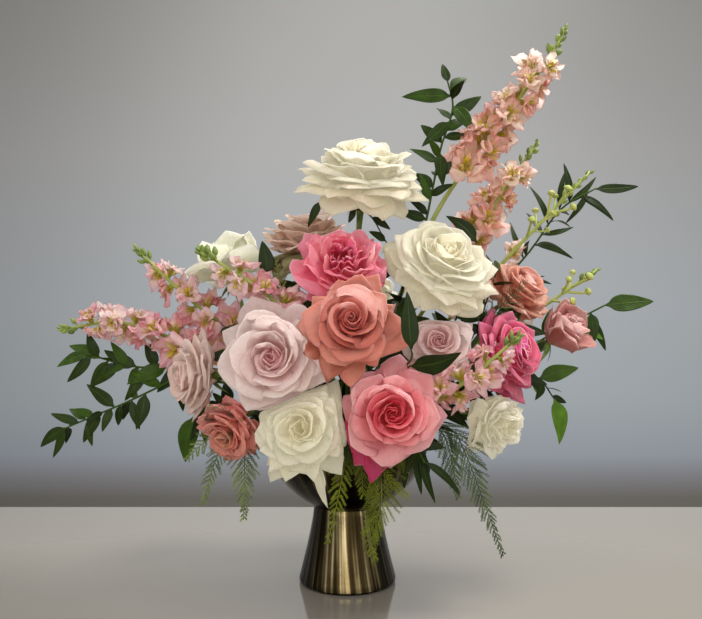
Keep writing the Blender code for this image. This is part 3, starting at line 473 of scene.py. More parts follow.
outside = [(BOWL * math.sin(a), RIM - BOWL * math.cos(a)) for a in np.linspace(0.0005, math.pi / 2, 49)]
inside = [((BOWL - METAL) * math.sin(a), RIM - (BOWL - METAL) * math.cos(a))
          for a in np.linspace(math.pi / 2, 0.0005, 33)]
lip = [(BOWL + 0.0009, RIM + 0.0006), (BOWL + 0.0012, RIM + 0.0014), (BOWL + 0.0010, RIM + 0.0023),
       (BOWL + 0.0004, RIM + 0.0028), (BOWL - 0.0006, RIM + 0.0028), (BOWL - 0.0011, RIM + 0.0021)]
spun("spun_bowl", outside + lip + inside, brass, "brass", "bowl")

# %% Wet foam
foam = Finish("wet_foam", Roughness=0.9, Specular_IOR_Level=0.25)
cells = foam.noise(foam.spot(), 900.0, 4.0)
patches = foam.noise(foam.spot(), 60.0, 3.0)
foam.coat(colour=foam.mix(patches.above(0.35, 0.7), paint(38, 62, 34), paint(66, 92, 52)),
          height=cells + patches, depth=0.0012)
foam_reach = BOWL - METAL - 0.0005
foam_side = [(foam_reach * math.sin(a), RIM - foam_reach * math.cos(a))
             for a in np.linspace(math.pi / 4, math.pi / 2, 13)]
crown = [(0.0790, RIM + 0.003), (0.0755, 0.1578), (0.0712, 0.1648), (0.0655, 0.1704), (0.0580, 0.1764),
         (0.0495, 0.1812), (0.0390, 0.1841), (0.0275, 0.1861), (0.0140, 0.1868), (0.0001, 0.1870)]
spun("foam_block", [(0.0001, foam_side[0][1])] + foam_side + crown, foam, "wet_foam", "foam", crease=60)
print("the foam stands", round(1000 * (crown[-1][1] - RIM), 1), "mm over the rim")

# %% [markdown]
# ## Petals
#
# A rose is a spiral. Each petal grows 137.5 degrees further round than the last, and each is a
# little longer and leans a little further out. So one petal function is enough, told how far out in
# the flower it stands. A petal is bent along its length: it leaves the calyx at one angle from the
# flower's axis, cups at another, and rolls back at its tip. Across its width it wraps round the
# axis. Waves, a crease and a small random lean keep any two from being alike. Modelling each petal
# by hand would give more control, but there are about eight hundred of them.

# %% One petal
def between(t, values):
    """A quadratic that is values[0] at 0, values[1] at a half and values[2] at 1."""
    first, middle, last = values
    return first * (1 - t) * (1 - 2 * t) + 4 * middle * t * (1 - t) + last * t * (2 * t - 1)


def petal(form, t, radius, rows, columns, draw, azimuth, longer=1.0, back=0.0, slim=1.0):
    """A petal's grid. t is 0 at the heart and 1 outside. Angles are from the flower's axis."""
    u = np.linspace(-1, 1, columns)[None, :]
    v = 1 - (1 - np.linspace(0, 1, rows)) ** 1.7
    v = v[:, None]
    wide = np.abs(u)
    loose = form["loose"]
    base, middle, tip = (between(t, form[k]) for k in ("base", "middle", "tip"))
    lean = draw.normal(0, 2.0 + 5.0 * t) * loose + back
    length = radius * between(t, form["length"]) * (1 + draw.uniform(-0.10, 0.10) * loose) * longer
    roll = (form["roll"] * (0.25 + 0.75 * t) * (1 - 0.45 * max(0, t - 0.75) / 0.25)
            * (1 + draw.uniform(-0.5, 0.4) * loose))
    point = form["point"] * (0.25 + 0.75 * t) * (1 + draw.uniform(-0.35, 0.35))
    tilt = draw.normal(0, 0.06) * loose
    nicks = draw.uniform(0, 6.28, 3)
    torn = (np.sin(5.3 * u + nicks[0]) + 0.6 * np.sin(11.7 * u + nicks[1])
            + 0.4 * np.sin(23 * u + nicks[2]))
    top = (1 - (0.28 - 0.05 * point) * wide ** 2.8 - 0.15 * point * wide ** 0.9 * (1 - 0.3 * wide)
           + tilt * u + form["ragged"] * torn)
    sharp = np.clip((t - 0.40) / 0.40, 0, 1)
    top = top - 0.10 * sharp * point * (1 - np.exp(-wide / 0.20))
    top = np.minimum(top, 1.04)

    steps = 48
    w = np.linspace(0, 1.05, steps + 1)[:, None]
    skew = draw.uniform(-0.5, 0.5) * loose
    share = w / top
    late = (0.25 * np.clip((share - 0.62) / 0.38, 0, 1.1) ** 2
            + 0.85 * np.clip((share - 0.87) / 0.13, 0, 1.1) ** 1.2)
    rolled = roll * (1 + 0.5 * skew * u) * (1 - 0.75 * sharp * np.exp(-(u / 0.22) ** 2)) * late
    angle = (1 - w) ** 2 * base + 2 * w * (1 - w) * middle + w ** 2 * tip + lean * w + rolled
    angle = np.radians(angle)
    zero = np.zeros((1, columns))
    step = length * 1.05 / steps
    run, rise = np.sin(angle) * step, np.cos(angle) * step
    away, up = (np.concatenate([zero, np.cumsum((a[1:] + a[:-1]) / 2, 0)]) for a in (run, rise))
    reach = radius * 0.05 + away
    height = radius * form["lift"] * (1 - t) + up
    s = v * top
    low = np.clip((s / 1.05 * steps).astype(int), 0, steps - 1)
    part = s / 1.05 * steps - low
    k = np.broadcast_to(np.arange(columns)[None, :], low.shape)
    reach, height, angle = (a[low, k] * (1 - part) + a[low + 1, k] * part for a in (reach, height, angle))

    half = math.radians(between(t, form["half"])) * (1 + draw.uniform(-0.16, 0.16) * loose) * slim
    widen = 0.34 + 0.66 * np.sin(np.clip(s / 0.66, 0, 1) * math.pi / 2)
    # The sides fold back behind the petal, from a line that nears the middle towards the tip.
    folds = form["fold"] * (0.15 + 0.85 * t) * (1 + draw.uniform(-0.3, 0.3) + 0.5 * skew * np.sign(u))
    line = 1 - folds * np.clip((v - 0.40) / 0.60, 0, 1) ** 1.3
    girth = np.maximum(reach, radius * 0.25)
    over = np.maximum(0, wide - line) * half * widen * girth
    turn_at = radius * 0.075
    bent = np.minimum(over / turn_at, 3.3)
    kept = np.minimum(wide, line) * half * widen + turn_at * np.sin(bent) / girth
    around = np.sign(u) * kept + draw.normal(0, 0.06) * v
    reach = reach * (1 + form["swirl"] * (1 - t) ** 1.3 * u * np.minimum(1, s * 1.5))

    phase = draw.uniform(0, 2 * math.pi, 6)
    pace = draw.uniform(0.8, 1.3, 3)
    edge = np.maximum(wide ** 3 + 0 * v, v ** 5 + 0 * u)
    bend = form["wave"] * radius * (0.35 + 0.65 * t) * (
        0.75 * np.sin(3.0 * pace[0] * u + phase[0] + 1.4 * v) * v ** 1.5
        + 0.45 * np.sin(6.5 * pace[1] * u + phase[1] + 2 * v) * edge
        + 0.22 * np.sin(13 * pace[2] * u + phase[2] + 3 * v) * edge ** 2
        + 0.30 * np.sin(4.2 * v * pace[1] + phase[3]) * np.sin(2.4 * u + phase[4]) * v)
    bend = bend - (form["crease"] * radius * np.exp(-(u / 0.16) ** 2)
                   * np.sin(np.clip(v, 0, 1) * math.pi) * (0.4 + 0.6 * t))
    bend = bend - turn_at * (1 - np.cos(bent))
    reach = reach - bend * np.cos(angle)
    height = height + bend * np.sin(angle)
    around = around + azimuth
    return np.stack([reach * np.cos(around), reach * np.sin(around), height], -1)


# Angles for the innermost, middle and outermost petal. half is half a petal's width round the axis.
OPEN = dict(petals=42, base=(12, 46, 72), middle=(6, 28, 60), tip=(-25, 46, 104), length=(0.62, 0.86, 0.98),
            half=(120, 64, 50), lift=0.10, roll=115, point=1.3, wave=0.050, fold=0.60, swirl=0.25,
            crease=0.02, ragged=0.008, loose=1.2)
FULL = dict(OPEN, petals=64, base=(12, 44, 70), middle=(6, 32, 62), tip=(-25, 62, 134), half=(120, 60, 50),
            wave=0.065, point=1.5, length=(0.66, 0.90, 1.04), roll=80)
RUFFLED = dict(FULL, petals=56, wave=0.115, tip=(-25, 54, 112), roll=100, crease=0.05, loose=1.6,
               ragged=0.016)
SPIRAL = dict(OPEN, petals=36, base=(8, 40, 72), middle=(0, 18, 58), tip=(-30, 42, 98),
              length=(0.72, 0.92, 1.02), half=(170, 76, 54), roll=130, point=1.2, wave=0.035,
              swirl=0.45, fold=0.85, ragged=0.005)
CUPPED = dict(OPEN, petals=40, base=(12, 54, 78), middle=(4, 16, 62), tip=(-40, 20, 96),
              length=(0.52, 0.86, 0.98), half=(110, 66, 50), roll=115, point=0.9, wave=0.060,
              swirl=0.3, fold=0.55)
QUARTERED = dict(OPEN, petals=56, base=(15, 46, 76), middle=(5, 18, 60), tip=(-10, 30, 100),
                 length=(0.66, 0.86, 0.98), half=(40, 44, 42), roll=100, point=0.9, wave=0.14,
                 swirl=0.2, crease=0.07, ragged=0.014, fold=0.5)
HALF_OPEN = dict(OPEN, petals=26, base=(10, 36, 70), middle=(2, 8, 24), tip=(-25, 4, 58),
                 length=(0.80, 1.00, 1.18), half=(130, 80, 58), roll=70, point=0.7, wave=0.05, fold=0.35)
print("petals in a bloom:", HALF_OPEN["petals"], "to", FULL["petals"])

# %% [markdown]
# ## Petal finishes
#
# A petal is never one colour. It is deeper in the heart of the bloom, where light bounces between
# petals of the same colour, greener or yellower at its claw, and a little worn or paler at its rim.
# On the magenta rose the pale rim is a painted highlight.
# Fine veins fan up it. Some light passes through, so it has subsurface scatter, and a velvet sheen.
# One recipe makes every variety from its own short paint list.

# %% One recipe for all the petals
def petal_finish(name, colours, claw, rim, guard=None, rim_share=0.5, fleck=None,
                 glow=0.055, deep=0.90, rich=1.0):
    """colours run evenly from the heart of the bloom to its outside, and guard is for the petals
    beyond. claw tints the foot of each petal, rim its edge, and fleck is a colour with its share.

    glow stands for the light that wanders from petal to petal inside a bloom, which takes up more
    of their colour at each step, so it is richer than the paint. deep darkens the paint.
    """
    stops = [(0.8 * k / (len(colours) - 1), paint(*c)) for k, c in enumerate(colours)]
    stops.append((0.95, paint(*(guard or colours[-1]))))
    patchy = 0.06
    finish = Finish(name, Subsurface_Weight=0.85, Subsurface_Radius=(0.0070, 0.0066, 0.0062),
                    Subsurface_Scale=1.0, Sheen_Weight=0.10, Sheen_Roughness=0.5, Specular_IOR_Level=0.30,
                    Emission_Strength=glow)
    across, along, layer, tint = (finish.mark(m) for m in ("across", "along", "layer", "tint"))
    spot = finish.spot()
    mottle = finish.noise(spot, 75.0, 3.0)
    veins = finish.noise(finish.vector(across * 9.0, along * 1.6, tint * 37.0), 2.6, 4.0, 0.65)
    crinkle = finish.noise(spot, 260.0, 3.0)
    depth = (layer + (mottle - 0.5) * 0.14 + (along - 0.5) * 0.10) * 0.8
    colour = finish.ramp(depth, stops)
    colour = finish.mix((1 - along.above(0.02, 0.50)) * 0.75, colour, paint(*claw))
    side = finish.node("Math", {"operation": "ABSOLUTE"}, {0: across})
    edge = finish.node("Math", {"operation": "MAXIMUM"},
                       {0: along.above(0.86, 1.0), 1: side.above(0.90, 1.0) * along})
    colour = finish.mix(edge * rim_share * (0.4 + 0.5 * layer), colour, paint(*rim))
    if fleck:
        spots = finish.noise(spot, 70.0, 5.0, 0.7).above(0.50, 0.62)
        colour = finish.mix(spots * along.above(0.1, 0.5) * fleck[1], colour, paint(*fleck[0]))
    shade = (1 - patchy) + (veins - 0.5) * 0.22 + (tint - 0.5) * patchy * 2 + (mottle - 0.5) * 0.12
    colour = colour * shade
    return finish.coat(colour=colour * (colour * 0.55 + 0.48) * deep, roughness=0.46 + 0.22 * mottle,
                       height=veins * 0.7 + crinkle * 0.3, depth=0.0009, strength=0.55,
                       glow=colour * (colour * rich + (1 - rich)))


# name: slot, colours from the heart out, claw, rim, and what else differs
PAINTS = {
    "ivory": ("white_petal", [(253, 241, 196), (254, 247, 218), (254, 247, 222), (253, 244, 212)],
              (240, 228, 170), (254, 249, 236), dict(glow=0.14, deep=0.58, rich=0.0)),
    "green_ivory": ("white_petal", [(240, 238, 196), (246, 243, 214), (244, 243, 214)],
                    (214, 220, 156), (248, 246, 228), dict(glow=0.10, deep=0.68, rich=0.3)),
    "hot_pink": ("hot_pink_petal", [(206, 20, 62), (232, 72, 108), (250, 148, 168), (250, 140, 166)],
                 (240, 132, 144), (250, 192, 200), dict(glow=0.08)),
    "coral": ("coral_petal", [(214, 98, 84), (222, 118, 100), (228, 138, 118), (224, 134, 108)],
              (230, 146, 106), (210, 108, 94), dict(glow=0.04)),
    "blush": ("blush_petal", [(240, 178, 178), (248, 216, 212), (252, 232, 226), (248, 226, 220)],
              (240, 206, 184), (252, 238, 232), dict(glow=0.075, deep=0.80)),
    "salmon": ("salmon_petal", [(236, 0, 52), (244, 50, 86), (250, 136, 146), (253, 176, 178),
                                (252, 172, 178)],
               (244, 124, 124), (252, 200, 200), dict(guard=(228, 62, 122))),
    # the magenta rose's pale rim, laid on at a large share, is a painted highlight
    "magenta": ("magenta_petal", [(190, 20, 70), (224, 62, 114), (240, 116, 154), (232, 96, 140)],
                (240, 130, 146), (252, 200, 210), dict(rim_share=0.85)),
    "dusty_coral": ("coral_petal", [(200, 108, 88), (226, 148, 124), (238, 174, 148), (234, 166, 142)],
                    (224, 164, 122), (206, 116, 98), {}),
    "dusty_rose": ("dusty_petal", [(160, 62, 68), (196, 106, 104), (210, 134, 126), (200, 112, 104)],
                   (202, 130, 104), (224, 160, 150), {}),
    "beige_blush": ("blush_petal", [(228, 176, 162), (238, 208, 196), (244, 222, 210), (238, 208, 198)],
                    (214, 186, 144), (240, 214, 200), dict(glow=0.06, deep=0.86)),
    "tea_coral": ("coral_petal", [(190, 128, 84), (236, 148, 128), (250, 168, 154), (248, 146, 142)],
                  (150, 122, 56), (244, 156, 148), dict(fleck=((120, 96, 34), 0.85))),
    "taupe_blush": ("dusty_petal", [(208, 160, 140), (230, 200, 180), (238, 212, 192), (230, 196, 178)],
                    (196, 160, 118), (214, 100, 104), dict(guard=(150, 140, 84), rim_share=0.45)),
}
PETALS = {name: petal_finish(name + "_petal", colours, claw, rim, **more)
          for name, (_, colours, claw, rim, more) in PAINTS.items()}
print("petal finishes:", len(PETALS))

# %% [markdown]
# ## The roses
#
# The chart says which form and finish each bloom has, where its middle is, which way it looks and
# how wide it is. The stems come next, because they are laid towards the blooms.

# %% The chart of blooms
# name: form, finish, middle, facing, radius
ROSES = {
    "white_top": (FULL, "ivory", (0.015, -0.030, 0.398), (0.08, -0.35, 0.93), 0.0627),
    "white_right": (FULL, "ivory", (0.086, -0.060, 0.308), (0.28, -0.64, 0.72), 0.0582),
    "hot_pink": (QUARTERED, "hot_pink", (-0.005, -0.075, 0.306), (0.00, -0.80, 0.60), 0.0515),
    "coral_front": (SPIRAL, "coral", (0.003, -0.140, 0.257), (0.03, -0.95, 0.30), 0.0515),
    "blush_front": (CUPPED, "blush", (-0.063, -0.105, 0.228), (-0.15, -0.97, 0.10), 0.0560),
    "salmon_front": (CUPPED, "salmon", (0.038, -0.115, 0.180), (0.03, -0.96, 0.15), 0.0538),
    "white_low": (RUFFLED, "ivory", (-0.037, -0.102, 0.167), (-0.15, -0.95, 0.15), 0.0493),
    "magenta_right": (SPIRAL, "magenta", (0.147, -0.040, 0.225), (0.72, -0.60, 0.35), 0.0515),
    "blush_right": (CUPPED, "blush", (0.084, -0.070, 0.240), (-0.10, -0.95, 0.20), 0.0381),
    "coral_right": (SPIRAL, "dusty_coral", (0.170, 0.010, 0.283), (0.50, -0.50, 0.70), 0.0426),
    "dusty_right": (HALF_OPEN, "dusty_rose", (0.214, 0.020, 0.242), (0.60, -0.45, 0.55), 0.0325),
    "blush_left": (OPEN, "beige_blush", (-0.139, -0.060, 0.207), (-0.85, -0.50, 0.00), 0.0437),
    "coral_left": (SPIRAL, "tea_coral", (-0.103, -0.075, 0.165), (-0.40, -0.75, -0.50), 0.0403),
    "white_left": (HALF_OPEN, "green_ivory", (-0.120, 0.030, 0.309), (-0.25, 0.35, 0.90), 0.0414),
    "dusty_top": (OPEN, "taupe_blush", (-0.039, 0.020, 0.341), (-0.10, -0.10, 1.00), 0.0493),
    "white_side": (QUARTERED, "ivory", (0.138, -0.055, 0.165), (0.60, -0.75, -0.25), 0.0403),
    "blush_back": (CUPPED, "blush", (-0.060, 0.105, 0.205), (-0.40, 0.88, 0.15), 0.0504),
    "salmon_back": (OPEN, "salmon", (0.075, 0.105, 0.215), (0.45, 0.85, 0.20), 0.0504),
    "white_back": (QUARTERED, "ivory", (0.010, 0.085, 0.285), (0.05, 0.80, 0.60), 0.0482),
}
print("roses:", len(ROSES))

# %% [markdown]
# ## Where the stems run
#
# Every stem goes straight into the foam and bends on its way to its flower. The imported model's
# stems were laid out by two rules, and the same rules work here, so each fine stem lies in its
# plain one. A stem leaves the foam towards its flower, and near neighbours are turned from each
# other until all have room. Then the free bends are pushed apart until no two stems touch.

# %% What the stems run through
# above the foam, from foot to tip. A fern only needs the point that it leans towards.
RUNS = {
    "stock_tall": [(0.040, 0.020, 0.250), (0.087, 0.010, 0.362), (0.1355, 0.000, 0.4345),
                   (0.2005, 0, 0.5195), (0.2175, 0, 0.5515)],
    "stock_middle": [(0.060, 0.030, 0.240), (0.1255, 0.020, 0.341), (0.194, 0.020, 0.4407)],
    "stock_budding": [(0.080, 0.045, 0.230), (0.1695, 0.035, 0.327), (0.253, 0.035, 0.4135)],
    "stock_right": [(0.090, 0.055, 0.205), (0.190, 0.050, 0.262), (0.2618, 0.040, 0.3115)],
    "stock_left_high": [(-0.060, 0.015, 0.215), (-0.1405, 0, 0.2675), (-0.2105, 0, 0.3295)],
    "stock_left_low": [(-0.080, 0.000, 0.195), (-0.1575, -0.010, 0.2345), (-0.225, -0.010, 0.257),
                       (-0.2825, -0.010, 0.250)],
    "stock_front_left": [(-0.035, -0.045, 0.215), (-0.060, -0.078, 0.272), (-0.132, -0.080, 0.3235)],
    "stock_front_right": [(0.055, -0.060, 0.190), (0.0900, -0.100, 0.198), (0.150, -0.102, 0.2460)],
    "vine_top": [(0.052, 0.010, 0.280), (0.0745, -0.005, 0.345), (0.0845, -0.005, 0.3895),
                 (0.0925, -0.005, 0.4295), (0.1045, -0.005, 0.4695), (0.0995, -0.005, 0.4975)],
    "vine_left": [(-0.070, 0.020, 0.190), (-0.150, 0.015, 0.212), (-0.210, 0.005, 0.212),
                  (-0.262, 0, 0.226)],
    "vine_right": [(0.085, 0.070, 0.175), (0.170, 0.060, 0.215), (0.225, 0.045, 0.250),
                   (0.268, 0.030, 0.275)],
    "vine_far_right": [(0.090, 0.060, 0.225), (0.185, 0.060, 0.320), (0.225, 0.050, 0.375),
                       (0.262, 0.045, 0.398)],
    "vine_front": [(0.034, -0.055, 0.200), (0.046, -0.088, 0.214), (0.055, -0.115, 0.222)],
    "vine_low": [(0.045, -0.072, 0.168), (0.058, -0.088, 0.152), (0.068, -0.100, 0.136)],
    "vine_top_left": [(-0.030, 0.000, 0.240), (-0.068, -0.020, 0.290), (-0.080, -0.022, 0.305)],
    "fern_left": [(-0.078, -0.011, 0.160)],
    "fern_centre": [(0.000, -0.060, 0.170)],
    "fern_right": [(0.075, -0.040, 0.168)],
    "fern_top_left": [(-0.050, -0.010, 0.225)],
}
print("other stems:", len(RUNS))

# %% Sockets in the foam
FAN = Vector((0, 0, 0.128))       # the stems fan out from here
DEPTH = 0.022                     # how far a stem is pushed into the foam
SLOPE = 0.42                      # a stem leaves the foam at least this steeply, to clear the lip
SPACING = 2 * math.asin(0.12)     # angle between neighbouring stems
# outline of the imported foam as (radius, height), from the rim to its crown
SKIN = [(BOWL - METAL - 0.00036, RIM), (0.076, RIM + 0.006), (0.066, 0.170), (0.050, 0.181),
        (0.028, 0.186), (0, 0.187)]


def to_skin(way):
    """Distance from FAN in this direction to the skin of the foam."""
    flat = math.hypot(way.x, way.y)
    for (r0, z0), (r1, z1) in zip(SKIN, SKIN[1:]):
        wide, high = r1 - r0, z1 - z0
        share = (flat * (z0 - FAN.z) - way.z * r0) / (way.z * wide - flat * high)
        if -0.001 <= share <= 1.001:
            return math.hypot(r0 + wide * share, z0 + high * share - FAN.z)


def not_too_flat(way):
    return Vector((way.x, way.y, max(way.z, SLOPE * math.hypot(way.x, way.y)))).normalized()


def sockets_towards(aims):
    """For each aim, where a stem ends in the foam and where it comes out."""
    ways = [not_too_flat(aim - FAN) for aim in aims]
    for _ in range(200):
        for i in range(len(ways)):
            for j in range(i):
                apart = ways[i].angle(ways[j], 0)
                if apart < SPACING:
                    push = (ways[i] - ways[j] + Vector((1e-5 * i, 1e-5 * j, 0))).normalized()
                    push *= (SPACING - apart) * 0.3
                    ways[i] = (ways[i] + push).normalized()
                    ways[j] = (ways[j] - push).normalized()
        ways = [not_too_flat(way) for way in ways]
    return [(FAN + way * (to_skin(way) - DEPTH), FAN + way * to_skin(way)) for way in ways]


print("angle between stems:", round(math.degrees(SPACING), 1), "degrees")

# %% Routes, and room between them
# radius of each kind of stem, the points of its route that stay where they are, and the least
# room between two stems
GIRTH = {"stem": 0.0026, "stock": 0.0029, "vine": 0.0014, "fern": 0.0017}
HELD = {"stem": {0, 1, 3, 4}, "stock": {0, 1}, "vine": {0, 1}, "fern": {0, 1}}
CLEAR = 0.0012
# a branch leaves these two at their second point over the foam, which stays as well
FORKED = ("vine_left", "vine_right")
# the one bloom that has been turned on its stem: the way it faced when the stem was laid
TURNED = {"white_right": (0.50, -0.65, 0.57)}


def kind(name):
    return name.split("_")[0]


def stem_route(end, mouth, seat, way):
    """Straight in the foam, then one bend to reach the bloom from behind."""
    start = mouth + (mouth - end).normalized() * 0.004
    lead = (seat - start).length * 0.40
    first, second = start + (mouth - end).normalized() * lead, seat - way * lead
    steps = [k / 3 for k in range(4)]
    return [end] + [start * (1 - t) ** 3 + first * 3 * t * (1 - t) ** 2
                    + second * 3 * t * t * (1 - t) + seat * t ** 3 for t in steps]


def nearest_shares(p, q, r, s):
    """Where two straight spans come nearest, as a share of each."""
    d1, d2, w = q - p, s - r, p - r
    a, e, b = d1.dot(d1), d2.dot(d2), d1.dot(d2)
    c, f = d1.dot(w), d2.dot(w)
    flat = a * e - b * b
    u = min(max((b * f - c * e) / flat, 0), 1) if flat > 1e-12 else 0
    v = min(max((b * u + f) / e, 0), 1)
    return min(max((b * v - c) / a, 0), 1), v


def push_apart(routes, one, a, two, b):
    """Pushes two spans apart where they are too near. Says whether a bend moved."""
    p, q, r, s = routes[one][a], routes[one][a + 1], routes[two][b], routes[two][b + 1]
    room = GIRTH[kind(one)] + GIRTH[kind(two)] + CLEAR
    if (p + q - r - s).length / 2 > room + ((p - q).length + (r - s).length) / 2:
        return False
    u, v = nearest_shares(p, q, r, s)
    gap = p.lerp(q, u) - r.lerp(s, v)
    if gap.length >= room:
        return False
    push = gap.normalized() * (room - gap.length) * 0.6
    moved = False
    for name, bend, sign in ((one, a, 1), (one, a + 1, 1), (two, b, -1), (two, b + 1, -1)):
        if bend not in HELD[kind(name)] and not (bend == 3 and name in FORKED):
            routes[name][bend] = routes[name][bend] + push * sign
            moved = True
    return moved


def lay_stems():
    """name: the points of its stem, from its end in the foam to its flower or tip."""
    ways, seats, aims = {}, {}, {}
    for name, (_, _, middle, way, radius) in ROSES.items():
        ways[name] = Vector(TURNED.get(name, way)).normalized()
        seats[name] = Vector(middle) - ways[name] * 0.33 * radius
        aims["stem_" + name] = Vector(middle) - ways[name] * radius * 1.2
    for name, points in RUNS.items():
        aims[name] = Vector(points[0])
    routes = {}
    for name, (end, mouth) in zip(aims, sockets_towards(aims.values())):
        if kind(name) == "stem":
            bloom = name[5:]
            routes[name] = stem_route(end, mouth, seats[bloom], ways[bloom])
        else:
            after = [] if kind(name) == "fern" else RUNS[name]
            start = mouth + (mouth - end).normalized() * 0.004
            routes[name] = [end, start] + [Vector(point) for point in after]
    spans = [(name, k) for name, route in routes.items() for k in range(len(route) - 1)]
    for _ in range(60):
        moves = [push_apart(routes, *span, *other) for n, span in enumerate(spans)
                 for other in spans[:n] if span[0] != other[0]]
        if not any(moves):
            break
    return {name: [tuple(point) for point in route] for name, route in routes.items()}


ROUTES = lay_stems()
print("stems:", len(ROUTES), " bends:", sum(len(route) - 2 for route in ROUTES.values()))

# %% [markdown]
# ## Blooms
#
# Blooms crowd each other: where two overlap, their petals are pressed softly against a plane
# between them, as they are in a full arrangement. The plane lies nearer the smaller bloom. Low
# blooms are also eased off the bowl and the foam.

# %% Pressing blooms against their neighbours
def walls_of(name):
    """Planes between this bloom and those it would run into, as (normal, offset)."""
    _, _, middle, _, radius = ROSES[name]
    middle = np.array(middle)
    walls = []
    for other, (_, _, there, _, reach) in ROSES.items():
        way = np.array(there) - middle
        apart = np.linalg.norm(way)
        if other == name or apart > radius + reach:
            continue
        normal = way / apart
        walls.append((normal, middle @ normal + (apart ** 2 + radius ** 2 - reach ** 2) / (2 * apart)))
    return walls


def press(points, walls, soft=0.009):
    """Points near a wall are slowed down, so that none passes it."""
    for normal, offset in walls:
        past = points @ normal - offset + soft
        held = np.where(past > 0, soft * (1 - np.exp(-np.maximum(past, 0) / soft)), past)
        points = points + (held - past)[..., None] * normal
    return points


def off_the_bowl(points):
    """Lifts what would be inside the bowl or the foam to just outside them."""
    middle = np.array((0, 0, RIM))
    away = points - middle
    size = np.where(away[..., 2:] > 0.004, np.array((0.082, 0.082, 0.0385)), BOWL + 0.0030)
    depth = np.linalg.norm(away / size, axis=-1, keepdims=True)
    return np.where(depth < 1, middle + away / np.maximum(depth, 0.3), points)


print("planes round the hot pink rose:", len(walls_of("hot_pink")))

# %% Bloom by bloom
def seat_of(name):
    _, _, middle, way, radius = ROSES[name]
    way = unit(np.array(way, dtype=float))
    return np.array(middle) - way * radius * 0.33, way


def fold_azimuth(turn, wanted):
    """The azimuth round a bloom's own axis that points most nearly in a wanted direction."""
    local = turn.T @ np.array(wanted, dtype=float)
    return math.atan2(local[1], local[0])


# Petals that hang or fold out further than the rest: direction, length, lean back in degrees, width
GUARDS = {
    "white_top": [((-1, -0.4, -0.1), 1.08, 10, 0.9), ((-0.5, -1, 0), 1.06, 22, 0.9),
                  ((0.25, -1, 0), 1.10, 26, 0.9), ((0.9, -0.6, 0), 1.08, 16, 0.9)],
    "white_low": [((0.25, 0, -1), 1.42, -4, 0.22), ((-0.5, 0, -1), 1.08, 2, 0.9)],
    "salmon_front": [((-1, 0, -0.35), 1.20, 12, 0.9), ((-0.8, 0, -0.9), 1.26, 8, 0.8),
                     ((-0.25, 0, -1), 1.20, 8, 0.6)],
    "white_right": [((0.55, 0, -0.9), 1.16, 6, 0.7), ((-0.9, 0, 0.3), 1.34, -4, 0.55),
                    ((-0.1, 0, -1), 1.04, 6, 0.8)],
    "coral_front": [((-0.9, 0, -0.45), 1.18, 4, 0.6), ((0.1, 0, -1), 1.06, 4, 0.6),
                    ((0.9, 0, 0.5), 1.0, 4, 0.8)],
    "magenta_right": [((0.7, 0, -1), 1.14, 4, 0.9)],
    "dusty_top": [((-1, -0.3, 0), 1.15, 40, 0.9), ((-0.6, -1, 0), 1.10, 52, 0.9),
                  ((-0.9, -0.8, 0), 1.20, 66, 0.8), ((-0.9, -0.1, 0), 1.05, 72, 0.7),
                  ((-0.8, -0.5, 0), 1.25, 80, 0.6)],
    "white_left": [((-0.5, -1, 0), 1.10, 52, 1.0), ((0.8, -0.8, 0), 1.0, 34, 1.0),
                   ((-1, 0, 0), 1.0, 26, 1.0)],
}
# Blooms drawn a little closed or a little fuller than their form
SPREAD = {"coral_front": 0.93, "white_left": 1.10, "blush_right": 1.06, "dusty_right": 1.26,
          "coral_right": 1.12, "salmon_front": 0.94, "dusty_top": 1.10}


def grow_rose(number, name):
    form, finish, _, _, radius = ROSES[name]
    draw = np.random.default_rng(100 + number)
    seat, way = seat_of(name)
    turn = facing(way)
    walls = walls_of(name)
    large = radius > 0.045
    rows, columns = (12, 13) if large else (11, 11)
    petals = round(form["petals"] * (1.0 if large else 0.9))
    spin = draw.uniform(0, 2 * math.pi)
    radius = radius * SPREAD.get(name, 1.0)
    piece = Piece()
    sheets = []
    for k in range(petals):
        t = (k + 0.5) / petals
        azimuth = spin + k * GOLDEN + draw.normal(0, 0.15)
        sheets.append((petal(form, t, radius, rows, columns, draw, azimuth), t))
    for wanted, longer, back, slim in GUARDS.get(name, []):
        azimuth = fold_azimuth(turn, wanted)
        sheets.append((petal(form, 1.0, radius, rows, columns, draw, azimuth, longer, back, slim), 1.3))
    for sheet, t in sheets:
        placed = seat + sheet @ turn.T
        piece.sheet(off_the_bowl(press(placed, walls)), layer=t, tint=draw.random())
    piece.make("rose_" + name, PETALS[finish], PAINTS[finish][0], "bloom_" + name, thickness=0.00038)


for number, name in enumerate(ROSES):
    grow_rose(number, name)
print("faces in the blooms:", sum(v for k, v in faces_drawn.items() if k.startswith("rose")))

# %% [markdown]
# ## Rose stems
#
# Each stem is a round shoot along its route, swollen where it meets the bloom. Sepals are five
# small green blades under each rose, a little curled, that once wrapped the bud.

# %% Rose stems and sepals
def blade(spine, side, up, widths, thickness, sides=10, cup=0.0):
    """A thin closed blade: a flattened tube whose section is cupped up at its edges."""
    angle = np.linspace(0, 2 * math.pi, sides, endpoint=False)
    over, lift = np.cos(angle), np.sin(angle)
    widths = np.array(widths, dtype=float)[:, None]
    cup = np.broadcast_to(np.array(cup, dtype=float).reshape(-1, 1), widths.shape)
    raised = lift * thickness / 2 + widths / 2 * cup * np.abs(over) ** 1.5
    grid = (spine[:, None] + side[:, None] * (over * widths / 2)[..., None]
            + up[:, None] * raised[..., None])
    return grid, over


